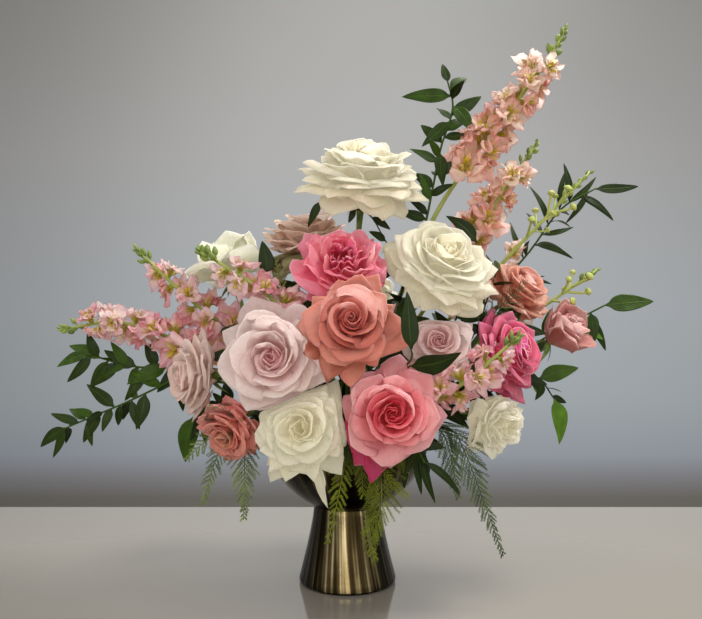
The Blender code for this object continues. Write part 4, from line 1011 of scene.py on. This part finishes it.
stem_green = Finish("rose_stem_green", Specular_IOR_Level=0.4, Subsurface_Weight=0.08,
                    Subsurface_Radius=(0.0012, 0.0016, 0.0006))
across, along = stem_green.mark("across"), stem_green.mark("along")
grain = stem_green.noise(stem_green.vector(across * 5.0, along * 26.0, 1.0), 2.0)
blotch = stem_green.noise(stem_green.spot(), 130.0)
stem_green.coat(colour=stem_green.mix(blotch.above(0.3, 0.7), paint(70, 96, 34), paint(116, 142, 62))
                * (0.85 + grain * 0.3), roughness=0.42 + 0.2 * grain, height=grain + blotch, depth=0.0004)

for number, name in enumerate(ROSES):
    draw = np.random.default_rng(300 + number)
    seat, way = seat_of(name)
    curve = curve_through(ROUTES["stem_" + name], 7)
    radii = np.full(len(curve), 0.0026)
    radii[-4:] = (0.0027, 0.0032, 0.0041, 0.0046)
    piece = Piece()
    piece.sheet(tube(curve, radii, 12), ring=True)
    turn = facing(way)
    for k in range(5):
        round_it = k * 2 * math.pi / 5 + 0.3
        out = turn @ np.array((math.cos(round_it), math.sin(round_it), 0.0))
        droop = draw.uniform(0.2, 1.1)
        s = np.linspace(0, 1, 9)[:, None]
        hang = out * math.cos(droop) - way * math.sin(droop)
        spine = curve[-1] + hang * s * 0.017 - way * 0.006 * s ** 2 + out * 0.002
        side = np.tile(unit(np.cross(way, out)), (9, 1))
        up = np.tile(way, (9, 1))
        widths = 0.0062 * np.sin((s[:, 0] * 0.86 + 0.14) ** 0.8 * math.pi) + 0.0003
        grid, over = blade(spine, side, up, widths, 0.0007, cup=0.3)
        piece.sheet(grid, layer=1.0, tint=draw.random(), ring=True, across=over)
    piece.make("stalk_" + name, stem_green, "rose_stem", "stem_" + name)
print("stems made:", len(ROSES))

# %% [markdown]
# ## Stock
#
# A spike of stock carries double florets in the same golden spiral, open below and shut buds at
# the tip. Each floret stands on a short green calyx and is a crumpled pompon of fifteen petals:
# broad ruffled ones outside, and small ones that crowd a yellow throat. The petal function makes
# these too, told to be narrow at the claw, to flare flat and to ruffle hard.

# %% Finishes of the florets and their shoots
def floret_finish(name, deep, middle, pale, throat):
    # The florets' emission is painted light: they glow a little, for the light that passes between and
    # through their petals.
    finish = Finish(name, Subsurface_Weight=0.80, Subsurface_Radius=(0.0060, 0.0056, 0.0052),
                    Subsurface_Scale=1.0, Sheen_Weight=0.10, Specular_IOR_Level=0.28,
                    Emission_Strength=0.06)
    along, layer, tint = (finish.mark(m) for m in ("along", "layer", "tint"))
    mottle = finish.noise(finish.spot(), 190.0, 3.0)
    veins = finish.noise(finish.vector(finish.mark("across") * 7.0, along * 2.0, tint * 31.0), 2.6, 3.0)
    colour = finish.ramp(tint * 0.85 + mottle * 0.3 - 0.06, [(0.06, deep), (0.40, middle), (0.85, pale)])
    colour = finish.mix(along.above(0.74, 1.0) * 0.50, colour, deep)
    colour = finish.mix((1 - along.above(0.22, 0.66)) * 0.85, colour, paint(250, 232, 178))
    colour = finish.mix(1 - along.above(0.16, 0.50) * layer.above(0.10, 0.42), colour, throat)
    lines = veins.above(0.52, 0.62) * (1 - along.above(0.24, 0.50))
    colour = finish.mix(lines * 0.8, colour, paint(96, 92, 20))
    colour = colour * (0.88 + veins * 0.24)
    # glow: the painted light of the emission, a deeper copy of the colour
    return finish.coat(colour=colour * (colour * 0.5 + 0.44), roughness=0.50 + 0.2 * mottle,
                       height=veins * 0.6 + mottle * 0.4, depth=0.0007, strength=0.6, glow=colour * colour)


STOCK_PINK = floret_finish("stock_pink", paint(218, 112, 130), paint(242, 184, 190),
                           paint(253, 228, 226), paint(216, 198, 46))
STOCK_PEACH = floret_finish("stock_peach", paint(224, 118, 112), paint(245, 192, 176),
                            paint(254, 236, 214), paint(218, 200, 48))
shoot_green = Finish("stock_shoot", Specular_IOR_Level=0.4, Subsurface_Weight=0.10,
                     Subsurface_Radius=(0.0012, 0.0018, 0.0006))
across, along = shoot_green.mark("across"), shoot_green.mark("along")
ridges = shoot_green.noise(shoot_green.vector(across * 9.0, along * 5.0, 2.0), 2.0)
green = shoot_green.ramp(shoot_green.mark("tint") * 0.7 + ridges * 0.3,
                         [(0.0, paint(82, 104, 42)), (0.30, paint(116, 136, 60)), (0.50, paint(152, 168, 80)),
                          (0.8, paint(188, 192, 104)), (1.0, paint(216, 178, 134))])
shoot_green.coat(colour=green, roughness=0.45 + 0.15 * ridges, height=ridges, depth=0.0004)
print("nodes in a floret:", len(STOCK_PINK.tree.nodes))

# %% One floret and one bud
FLORET = dict(petals=15, base=(6, 10, 14), middle=(4, 30, 62), tip=(26, 70, 108),
              length=(0.74, 1.06, 1.34), half=(32, 36, 44), lift=0.0, roll=40, point=0.0, wave=0.33,
              fold=0.0, swirl=0.1, crease=0.06, ragged=0.035, loose=1.6)


def grow_floret(petals, shoots, root, way, size, draw):
    """A double floret on its calyx. size is how far its petals reach."""
    turn = facing(way)
    stalk = np.array([root, root + way * size * 0.26, root + way * size * 0.48])
    calyx = np.array((0.07, 0.075, 0.10, 0.12, 0.13, 0.12, 0.07)) * size
    shoots.sheet(tube(curve_through(stalk, 3), calyx, 8), ring=True, tint=draw.uniform(0.3, 0.8))
    seat = root + way * size * 0.20
    tone = draw.random()
    spin = draw.uniform(0, 6.28)
    for k in range(FLORET["petals"]):
        t = (k + 0.5) / FLORET["petals"]
        sheet = petal(FLORET, t, size, 6, 8, draw, spin + k * GOLDEN + draw.normal(0, 0.25))
        shade = min(1, tone * 0.65 + draw.random() * 0.40)
        petals.sheet(seat + sheet @ turn.T, layer=t, tint=shade)


def grow_bud(shoots, root, way, length, draw, stalk, tone):
    """A shut bud: a slim stalk, then an egg of folded sepals with a small point."""
    bend = unit(way + np.array((0, 0, 0.35)))
    middle = root + way * length * stalk
    curve = curve_through([root, middle, middle + bend * length * (1 - stalk)], 8)
    s = np.linspace(0, 1, len(curve))
    swell = np.sin(np.clip((s - stalk) / (1 - stalk), 0, 1) ** 0.8 * math.pi) ** 0.8
    radii = length * (0.05 + (0.14 * draw.uniform(0.8, 1.2) - 0.02) * swell)
    shoots.sheet(tube(curve, radii, 8), ring=True, tint=tone)


# name: share of the stem that is bare, florets, size of the lowest, buds, finish
STOCKS = {
    "tall": (0.60, 17, 0.0190, 14, STOCK_PEACH), "middle": (0.46, 15, 0.0188, 9, STOCK_PEACH),
    "budding": (0.40, 5, 0.0140, 20, STOCK_PEACH), "right": (0.55, 3, 0.0125, 14, STOCK_PEACH),
    "left_high": (0.40, 13, 0.0165, 12, STOCK_PINK), "left_low": (0.38, 17, 0.0178, 11, STOCK_PINK),
    "front_left": (0.30, 13, 0.0172, 16, STOCK_PINK), "front_right": (0.26, 12, 0.0172, 8, STOCK_PINK),
}

for number, (name, (bare, florets, size, buds, finish)) in enumerate(STOCKS.items()):
    draw = np.random.default_rng(500 + number)
    curve = curve_through(ROUTES["stock_" + name], 8)
    petals, shoots = Piece(), Piece()
    thin = np.linspace(0.0032, 0.0014, len(curve))
    shoots.sheet(tube(curve, thin, 12), ring=True, tint=0.60)
    top = 0.91 if florets > 5 else 0.72 if florets > 3 else 0.80
    for k in range(florets + buds):
        late = k - florets
        share = bare + (top - bare) * k / florets
        if late >= 0:
            share = top + (0.998 - top) * (late / buds) ** 0.8
        root, way = at_share(curve, share)
        _, across, beside = frames_along(np.array([root, root + way]))
        angle = k * GOLDEN + draw.uniform(-0.2, 0.2)
        out = across[0] * math.cos(angle) + beside[0] * math.sin(angle)
        if late < 0:
            here = size * (1 - 0.26 * k / florets) * draw.uniform(0.94, 1.22)
            grow_floret(petals, shoots, root, unit(out + way * draw.uniform(0.2, 0.6)), here, draw)
        else:
            # spikes that are mostly in bud hold the lowest ones out on long stalks
            far = florets <= 5 and late < buds * 0.45
            aim = unit(out * draw.uniform(0.5, 1.1) * (1 - 0.7 * late / buds) + way * 0.8)
            long = (0.0230 if far else 0.0140 - 0.0066 * late / buds) * draw.uniform(0.85, 1.2)
            tone = draw.uniform(0.5, 0.98) if far else draw.uniform(0.0, 0.45)
            grow_bud(shoots, root, aim, long, draw, 0.66 if far else 0.45, tone)
    shoots.make("spike_" + name, shoot_green, "stock", "stock_" + name)
    petals.make("florets_" + name, finish, "stock", "stock_" + name, thickness=0.00025, rim=False)
print("stock:", {k: v for k, v in faces_drawn.items() if k[:5] in ("spike", "flore")})

# %% [markdown]
# ## Trailing greenery
#
# The vines have dark pointed leaves, each with a folded midrib and side veins. A leaf is one
# closed blade with an arched spine. Its outline swells early and ends in a long tip. A thin clear
# coat over a rougher body gives a faint gloss, as the wax on a real leaf does.

# %% Leaf finish
leaf_green = Finish("vine_leaf_green", Coat_Weight=0.05, Coat_Roughness=0.20, Specular_IOR_Level=0.12,
                    Subsurface_Weight=0.06, Subsurface_Radius=(0.0008, 0.0016, 0.0004))
across, along, layer, tint = (leaf_green.mark(m) for m in ("across", "along", "layer", "tint"))
side = leaf_green.node("Math", {"operation": "ABSOLUTE"}, {0: across})
rib = 1 - side.above(0.0, 0.10)
ribs = leaf_green.node("Math", {"operation": "SINE"}, {0: (along * 9.0 - side * 3.2) * 6.283})
side_veins = ribs.above(0.80, 1.0) * (1 - side * 0.6)
cloud = leaf_green.noise(leaf_green.spot(), 95.0, 3.0)
body = leaf_green.ramp(tint * 0.8 + cloud * 0.25, [(0.05, paint(20, 30, 4)), (0.40, paint(36, 54, 8)),
                                                   (0.7, paint(66, 98, 20)), (0.9, paint(96, 136, 38))])
body = leaf_green.mix(rib * 0.30 + side_veins * 0.10, body, paint(88, 116, 40))
leaf_green.coat(colour=body * (0.85 + cloud * 0.3), roughness=0.36 + 0.2 * cloud,
                height=cloud * 0.5 - rib * 0.6 - side_veins * 0.25, depth=0.0007, strength=0.6)
print("nodes in a leaf:", len(leaf_green.tree.nodes))

# %% One leaf
def grow_leaf(piece, root, way, length, width, draw, tone, look=(0.15, -1.0, 0.35), bend=0.25):
    """A pointed leaf from root along way, its face towards look, its tip arched away from it."""
    way, look = unit(np.array(way, dtype=float)), np.array(look, dtype=float)
    if abs(way @ unit(look)) > 0.8:
        look = np.array((0.0, 0.0, 1.0))
    side = unit(np.cross(way, look))
    normal = unit(np.cross(side, way))
    s = np.linspace(0, 1, 13)
    curl = draw.uniform(-0.10, 0.10)
    spine = (root + np.outer(s, way) * length - np.outer(s ** 2, normal) * length * bend
             + np.outer(np.sin(s * math.pi) * curl, side) * length * 0.6)
    twist = draw.uniform(-0.5, 0.5) * s[:, None]
    sides = side * np.cos(twist) + normal * np.sin(twist)
    ups = normal * np.cos(twist) - side * np.sin(twist)
    blade_part = np.clip((s - 0.07) / 0.93, 0, 1)
    widths = 0.0011 + width * (np.sin(blade_part ** 0.72 * math.pi) ** 0.85) * (1 - 0.25 * blade_part)
    widths[-1] = 0.0003
    fold = 0.16 + 0.16 * np.sin(s * 9 + draw.uniform(0, 6)) * 0.3
    grid, over = blade(spine, sides, ups, widths, 0.0006, sides=12, cup=fold)
    piece.sheet(grid, tint=tone, ring=True, across=over)


# %% The vines
# branches after the first, then leaves as (branch, share along it, direction, length, width)
VINES = {
    "top": ([], [
        (0, 0.56, (-0.8, -0.4, 0.3), 0.030, 0.011), (0, 0.62, (-0.3, -0.3, 0.9), 0.028, 0.011),
        (0, 0.66, (-0.7, -0.2, 0.6), 0.024, 0.012), (0, 0.70, (0.7, -0.3, 0.4), 0.028, 0.012),
        (0, 0.74, (-0.8, -0.1, 0.5), 0.030, 0.012), (0, 0.77, (0.1, -0.4, -0.9), 0.034, 0.014),
        (0, 0.80, (-0.5, 0.1, 0.6), 0.030, 0.013), (0, 0.84, (0.8, 0.1, 0.5), 0.028, 0.012),
        (0, 0.87, (-0.6, -0.2, -0.5), 0.036, 0.014), (0, 0.89, (0.75, -0.1, 0.55), 0.036, 0.014),
        (0, 0.92, (0.5, -0.4, -0.6), 0.034, 0.015), (0, 0.95, (-0.95, -0.1, 0.1), 0.048, 0.017),
        (0, 0.97, (0.7, 0.2, 0.6), 0.026, 0.012), (0, 0.995, (-0.2, 0, 1.0), 0.020, 0.009)]),
    "left": ([[(-0.150, 0.015, 0.212), (-0.215, 0.000, 0.180), (-0.255, 0, 0.163), (-0.285, 0, 0.150)],
              [ROUTES["vine_left"][1], (-0.110, -0.012, 0.172), (-0.148, -0.028, 0.168)]], [
        (2, 0.99, (-0.20, -0.1, -0.95), 0.047, 0.020), (2, 0.80, (-0.7, -0.3, -0.4), 0.030, 0.012),
        (2, 0.90, (0.1, -0.5, -0.8), 0.028, 0.011),
        (0, 0.42, (-0.3, -0.6, 0.7), 0.036, 0.014), (0, 0.50, (-0.5, -0.3, 0.8), 0.040, 0.016),
        (0, 0.55, (-0.6, -0.3, -0.6), 0.036, 0.015), (0, 0.62, (-0.8, -0.4, -0.3), 0.042, 0.017),
        (0, 0.67, (-0.3, -0.2, 0.9), 0.030, 0.012), (0, 0.72, (-0.5, -0.3, -0.8), 0.038, 0.012),
        (0, 0.76, (-0.8, -0.2, 0.5), 0.036, 0.014), (0, 0.80, (-0.4, -0.3, 0.7), 0.028, 0.011),
        (0, 0.84, (-0.8, -0.2, -0.6), 0.036, 0.014), (0, 0.89, (-0.6, -0.1, -0.8), 0.034, 0.010),
        (0, 0.93, (-0.9, 0, 0.4), 0.036, 0.013), (0, 0.97, (-0.7, -0.2, -0.7), 0.036, 0.011),
        (0, 0.99, (-0.9, -0.1, -0.3), 0.034, 0.012), (1, 0.16, (0.2, -0.4, -0.9), 0.034, 0.012),
        (1, 0.28, (-0.7, -0.3, 0.4), 0.032, 0.011), (1, 0.40, (-0.2, -0.3, -0.9), 0.036, 0.014),
        (1, 0.50, (0.3, -0.2, -0.9), 0.030, 0.009), (1, 0.62, (-0.7, 0, 0.6), 0.038, 0.013),
        (1, 0.72, (-0.5, -0.2, -0.8), 0.034, 0.012), (1, 0.80, (0.1, -0.2, -0.95), 0.028, 0.008),
        (1, 0.88, (-0.8, -0.1, 0.3), 0.030, 0.009), (1, 0.97, (-0.8, 0, -0.5), 0.036, 0.012),
        (1, 0.985, (-0.4, -0.1, -0.9), 0.032, 0.009)]),
    "right": ([[(0.170, 0.060, 0.215), (0.200, 0.035, 0.197), (0.212, 0.020, 0.178)]], [
        (0, 0.60, (0.1, -0.5, 0.8), 0.030, 0.012), (0, 0.72, (0.2, -0.1, 0.9), 0.030, 0.013),
        (0, 0.84, (0.8, -0.4, -0.35), 0.036, 0.015), (0, 0.90, (0.6, -0.2, -0.8), 0.042, 0.011),
        (0, 0.93, (0.15, -0.3, -0.9), 0.030, 0.014), (0, 0.995, (0.95, -0.2, 0.15), 0.050, 0.020),
        (1, 0.35, (0.5, -0.5, -0.6), 0.030, 0.012), (1, 0.60, (0.9, -0.1, 0.3), 0.044, 0.018),
        (1, 0.99, (0.15, -0.2, -0.9), 0.046, 0.019)]),
    "far_right": ([], [
        (0, 0.48, (-0.6, -0.3, 0.6), 0.038, 0.0073), (0, 0.55, (0.9, -0.2, 0.2), 0.046, 0.0066),
        (0, 0.62, (0.7, -0.2, -0.6), 0.044, 0.0066), (0, 0.66, (-0.2, 0.1, 0.9), 0.044, 0.0066),
        (0, 0.72, (0.8, -0.1, -0.2), 0.044, 0.0066), (0, 0.76, (0.9, 0, 0.3), 0.038, 0.0059),
        (0, 0.80, (-0.3, 0, 0.9), 0.046, 0.0066), (0, 0.86, (0.2, 0, 0.9), 0.044, 0.0066),
        (0, 0.90, (0.7, -0.1, 0.7), 0.041, 0.0066), (0, 0.94, (0.8, 0, -0.4), 0.046, 0.0066),
        (0, 0.97, (-0.5, -0.1, -0.7), 0.038, 0.0059), (0, 0.995, (0.95, -0.1, 0.15), 0.048, 0.011)]),
    "front": ([[(0.034, -0.055, 0.200), (0.052, -0.105, 0.222), (0.0530, -0.150, 0.232),
                (0.0512, -0.166, 0.238)]], [
        (0, 0.70, (-0.4, -0.5, -0.6), 0.030, 0.014), (1, 0.99, (-0.04, -0.1, 0.9), 0.046, 0.015),
        (0, 0.98, (0.9, -0.2, 0.15), 0.044, 0.023)]),
    "low": ([], [
        (0, 0.50, (0.5, -0.2, -0.8), 0.040, 0.008), (0, 0.60, (-0.1, -0.1, -0.9), 0.044, 0.008),
        (0, 0.75, (0.15, -0.2, -0.95), 0.040, 0.007), (0, 0.85, (0.35, -0.1, -0.9), 0.046, 0.008),
        (0, 0.98, (0.8, -0.1, -0.65), 0.044, 0.007)]),
    "top_left": ([], [
        (0, 0.60, (0.6, 0.1, 0.9), 0.030, 0.012), (0, 0.80, (-0.7, -0.3, 0.4), 0.026, 0.010),
        (0, 0.98, (-0.1, -0.1, 0.95), 0.034, 0.016)]),
}


def branch_curve(name, number, branches):
    points = ROUTES["vine_" + name][1:] if number == 0 else branches[number - 1]
    return curve_through(points, 6)


# small leaves drawn between those of the chart, and how pale the vine's leaves may be
BETWEEN = {"top": (9, 0.5), "left": (26, 0.55), "right": (8, 0.95), "far_right": (12, 0.3),
           "front": (0, 0.12), "low": (5, 0.1), "top_left": (3, 0.4)}

for number, (name, (branches, leaves)) in enumerate(VINES.items()):
    draw = np.random.default_rng(700 + number)
    piece = Piece()
    whole = curve_through(ROUTES["vine_" + name], 6)
    piece.sheet(tube(whole, np.linspace(0.0014, 0.0009, len(whole)), 8), ring=True, tint=0.5, layer=1.0)
    curves = [branch_curve(name, k, branches) for k in range(len(branches) + 1)]
    for curve in curves[1:]:
        piece.sheet(tube(curve, np.linspace(0.0012, 0.0007, len(curve)), 8), ring=True, tint=0.5, layer=1.0)
    more, pale = BETWEEN[name]
    look = (0.1, -1, -0.4) if name == "front" else (0.15, -1, 0.35)
    for branch, share, way, length, width in leaves:
        root, _ = at_share(curves[branch], share)
        grow_leaf(piece, root, way, length, width, draw, draw.uniform(0.3 * pale, pale), look=look)
    for k in range(more):
        curve = curves[k % len(curves)]
        root, ahead = at_share(curve, 0.42 + 0.55 * (k + 0.5) / more)
        _, across, beside = frames_along(np.array([root, root + ahead]))
        angle = k * GOLDEN
        way = ahead * 0.7 + across[0] * math.cos(angle) + beside[0] * math.sin(angle)
        slim = 0.5 if name == "far_right" else 1.0
        length = draw.uniform(0.018, 0.030) / slim ** 0.5
        width = length * slim * draw.uniform(0.30, 0.42)
        grow_leaf(piece, root, way, length, width, draw, draw.uniform(0, pale), bend=0.25 / slim)
    piece.make("trail_" + name, leaf_green, "vine_leaf", "vine_" + name)
print("leaves:", sum(len(v[1]) for v in VINES.values()))

# %% [markdown]
# ## Fern
#
# Fern softens the lower edge. A frond is a rib with pairs of pinnae, and each pinna is itself a
# small feather of leaflets, so the same idea is used twice. A leaflet is one small diamond: at two
# millimetres its thickness and its curve would never be seen.

# %% Fern finishes
def fern_finish(name, dark, light):
    finish = Finish(name, Specular_IOR_Level=0.12)
    along, tint = finish.mark("along"), finish.mark("tint")
    cloud = finish.noise(finish.spot(), 60.0, 3.0)
    colour = finish.ramp(tint * 0.7 + (cloud - 0.35) * 1.1, [(0.1, dark), (0.9, light)])
    return finish.coat(colour=colour * (0.8 + along * 0.35), roughness=0.5 + 0.2 * cloud,
                       height=cloud, depth=0.0003)


FERN_FINISH = {
    "left": fern_finish("fern_grey_green", paint(66, 84, 34), paint(132, 146, 82)),
    "centre": fern_finish("fern_bright", paint(36, 44, 4), paint(118, 128, 32)),
    "right": fern_finish("fern_dark", paint(34, 48, 26), paint(94, 112, 68)),
    "top_left": fern_finish("fern_olive", paint(66, 76, 30), paint(150, 152, 92)),
}
print("fern greens:", len(FERN_FINISH))

# %% One frond
def grow_frond(piece, points, pairs, reach, bare, draw, leaflets=14, look=(0.2, -1.0, 0.45), limp=0.14):
    """A rib through the points, then pairs of slim feathered pinnae, longest near the stalk."""
    rib = curve_through(points, 8)
    piece.sheet(tube(rib, np.linspace(0.0009, 0.00035, len(rib)), 6), ring=True, tint=0.45)
    look = unit(np.array(look) + draw.normal(0, 0.25, 3))
    for k in range(pairs):
        t = (k + 0.5) / pairs
        root, way = at_share(rib, bare + (0.99 - bare) * t)
        out = unit(np.cross(way, look))
        length = reach * min(1, 0.6 + 2.5 * t) * (1 - t) ** 1.25 + 0.004
        for sign in (-1, 1):
            aim = unit(out * sign * 0.68 + way * 0.74 + np.array((0, 0, -0.14)) + draw.normal(0, 0.10, 3))
            here = length * draw.uniform(0.76, 1.10)
            s = np.linspace(0, 1, 7)
            spine = (root + way * 0.0008 * sign + np.outer(s, aim) * here
                     + np.outer(s ** 2, (0, 0, -1)) * here * limp * 0.5
                     + np.outer(s ** 2, look) * here * draw.uniform(-0.1, 0.2))
            piece.sheet(tube(spine, np.linspace(0.0004, 0.0002, 7), 4), ring=True, tint=0.5)
            tone = draw.random()
            flat = unit(np.cross(aim, look))
            for j in range(leaflets):
                q = 0.12 + 0.86 * (j + 0.5) / leaflets
                start, ahead = at_share(spine, q)
                size = here * 0.11 * (1 - 0.6 * q) + 0.0012
                for hand in (-1, 1):
                    tip = start + unit(flat * hand * 0.66 + ahead * 0.80 + draw.normal(0, 0.20, 3)) * size
                    width = unit(np.cross(tip - start, look)) * size * 0.11
                    middle = (start + tip) / 2
                    piece.sheet(np.array([[start, middle - width], [middle + width, tip]]), tint=tone)


# %% The sprays
# name: fronds, each (points of its rib above the foam, pairs of pinnae, longest pinna, bare share)
FERNS = {
    "left": [([(-0.106, -0.022, 0.158), (-0.121, -0.029, 0.138), (-0.130, -0.042, 0.112),
               (-0.135, -0.050, 0.087)], 19, 0.026, 0.30),
             ([(-0.094, -0.034, 0.157), (-0.096, -0.052, 0.138), (-0.094, -0.066, 0.108),
               (-0.095, -0.068, 0.077)], 21, 0.028, 0.28),
             ([(-0.100, -0.040, 0.158), (-0.128, -0.060, 0.150), (-0.148, -0.066, 0.132)],
              10, 0.016, 0.55)],
    "centre": [([(0.0, -0.084, 0.164), (-0.001, -0.094, 0.142), (-0.008, -0.106, 0.105),
                 (-0.017, -0.112, 0.068)], 19, 0.020, 0.28),
               ([(0.010, -0.086, 0.162), (0.026, -0.094, 0.140), (0.030, -0.104, 0.104),
                 (0.020, -0.110, 0.074), (0.025, -0.112, 0.051)], 26, 0.042, 0.26),
               ([(0.018, -0.088, 0.168), (0.040, -0.098, 0.152), (0.050, -0.104, 0.130)],
                13, 0.036, 0.34),
               ([(0.008, -0.088, 0.164), (0.012, -0.098, 0.138), (0.014, -0.106, 0.108)],
                16, 0.022, 0.30)],
    "right": [([(0.095, -0.060, 0.160), (0.108, -0.072, 0.138), (0.126, -0.074, 0.090),
                (0.142, -0.074, 0.046)], 30, 0.032, 0.28),
              ([(0.086, -0.064, 0.158), (0.094, -0.076, 0.136), (0.100, -0.080, 0.100)],
               18, 0.026, 0.30),
              ([(0.112, -0.020, 0.225), (0.146, -0.030, 0.272), (0.172, -0.038, 0.298)],
               12, 0.026, 0.60)],
    "top_left": [([(-0.072, 0.000, 0.280), (-0.080, 0.004, 0.330)], 15, 0.022, 0.42),
                 ([(-0.058, -0.018, 0.264), (-0.070, -0.022, 0.318)], 13, 0.022, 0.50)],
}

for number, (name, fronds) in enumerate(FERNS.items()):
    draw = np.random.default_rng(900 + number)
    piece = Piece()
    for k, (points, pairs, reach, bare) in enumerate(fronds):
        foot = ROUTES["fern_" + name]
        rib = (foot if k == 0 else foot[1:]) + points
        grow_frond(piece, rib, pairs, reach, bare, draw)
    piece.make("spray_" + name, FERN_FINISH[name], "fern", "fern_" + name)
print("fern:", {k: v for k, v in faces_drawn.items() if k.startswith("spray")})

# %% [markdown]
# ## Leaves that hide the foam
#
# A florist never leaves foam in sight. Short cuttings are pushed in all round the rim, and leafy
# twigs stand between the stems, so that the gaps between blooms look dark and green. They are
# small detail of this dressed model only: they are rooted in the foam and stay among the flowers.
# Both reuse the leaf function, and the golden angle spreads them evenly. One thin runner winds
# under the top rose.

# %% Cuttings round the rim
# three rings: lean from upright, reach from the axis, height over the rim, stretch, droop
RINGS = ((1.28, 0.058, 0.0, 1.0, 1.2), (0.98, 0.045, 0.012, 1.0, 0.7), (0.55, 0.022, 0.020, 1.25, 0.7))
CUTTINGS = 46
draw = np.random.default_rng(1234)
collar = Piece()
for k in range(CUTTINGS):
    lean, reach, height, stretch, droop = RINGS[k % 3]
    around = k * GOLDEN
    lean = lean + draw.uniform(-0.1, 0.1)
    out = np.array((math.cos(around), math.sin(around), 0.0))
    way = out * math.sin(lean) + np.array((0, 0, math.cos(lean)))
    root = out * reach + np.array((0, 0, RIM + height))
    length = draw.uniform(0.045, 0.066) * stretch
    width, bend, tone = draw.uniform(0.014, 0.021), draw.uniform(0.2, 0.5) * droop, draw.uniform(0.0, 0.45)
    grow_leaf(collar, root, way, length, width, draw, tone, look=np.array((0, 0, 1.0)) - out * 0.2, bend=bend)
print("cuttings:", CUTTINGS)

# %% Twigs between the stems
# where each twig's tip stands
TWIGS = [(0.052, -0.040, 0.292), (0.046, -0.075, 0.262), (0.120, 0.005, 0.262), (0.110, -0.050, 0.205),
         (-0.085, -0.010, 0.270), (-0.058, -0.050, 0.280), (-0.030, -0.030, 0.300), (0.035, 0.010, 0.315),
         (-0.110, -0.035, 0.245), (-0.125, -0.020, 0.180), (0.020, -0.085, 0.222), (0.145, -0.010, 0.250),
         (-0.100, 0.060, 0.240), (0.060, 0.085, 0.270), (-0.020, 0.110, 0.240), (0.110, 0.060, 0.250),
         (-0.050, 0.060, 0.290), (0.010, 0.120, 0.200), (-0.105, 0.020, 0.150), (0.125, 0.030, 0.185),
         (0.150, 0.000, 0.310), (0.168, -0.020, 0.262), (0.128, -0.010, 0.338), (0.190, 0.010, 0.225)]

for k, tip in enumerate(TWIGS):
    tip = np.array(tip)
    root = np.array((tip[0] * 0.35, tip[1] * 0.35, RIM + 0.004))
    middle = (root + tip) / 2 + np.array((tip[0], tip[1], 0)) * 0.12
    curve = curve_through([root, middle, tip], 7)
    collar.sheet(tube(curve, np.linspace(0.0014, 0.0007, len(curve)), 6), ring=True, tint=0.3, layer=1.0)
    for j in range(7):
        place, ahead = at_share(curve, 0.42 + 0.57 * j / 6)
        _, across, beside = frames_along(np.array([place, place + ahead]))
        angle = j * GOLDEN + k
        way = ahead * 0.6 + across[0] * math.cos(angle) + beside[0] * math.sin(angle)
        length = draw.uniform(0.026, 0.040)
        width = length * draw.uniform(0.34, 0.46)
        grow_leaf(collar, place, way, length, width, draw, draw.uniform(0.0, 0.4))

# a thin runner under the top rose, and the leaf at its left
runner = curve_through([(0.060, 0.000, 0.318), (0.0453, -0.030, 0.3313), (0.0368, -0.036, 0.3350),
                        (0.0206, -0.042, 0.3598), (-0.006, -0.046, 0.3683)], 7)
collar.sheet(tube(runner, 0.0007, 6), ring=True, tint=0.1, layer=1.0)
for share, way, length in ((0.28, (0.6, -0.2, 0.7), 0.020), (0.45, (-0.7, -0.2, 0.5), 0.018),
                           (0.70, (0.9, 0, -0.45), 0.021), (0.88, (-0.3, -0.2, -0.8), 0.014)):
    grow_leaf(collar, at_share(runner, share)[0], way, length, length * 0.42, draw, 0.1)
grow_leaf(collar, np.array((-0.026, -0.046, 0.372)), (-0.42, -0.1, -0.9), 0.026, 0.008, draw, 0.1)
collar.make("leaf_collar", leaf_green, "vine_leaf")
print("twigs:", len(TWIGS))

# %% [markdown]
# ## Triangles at the end
#
# The dressed model must keep the size of the imported one. The last line prints how many
# triangles the pieces have.

# %% Count the triangles
print("triangles:", sum(faces_drawn.values()))
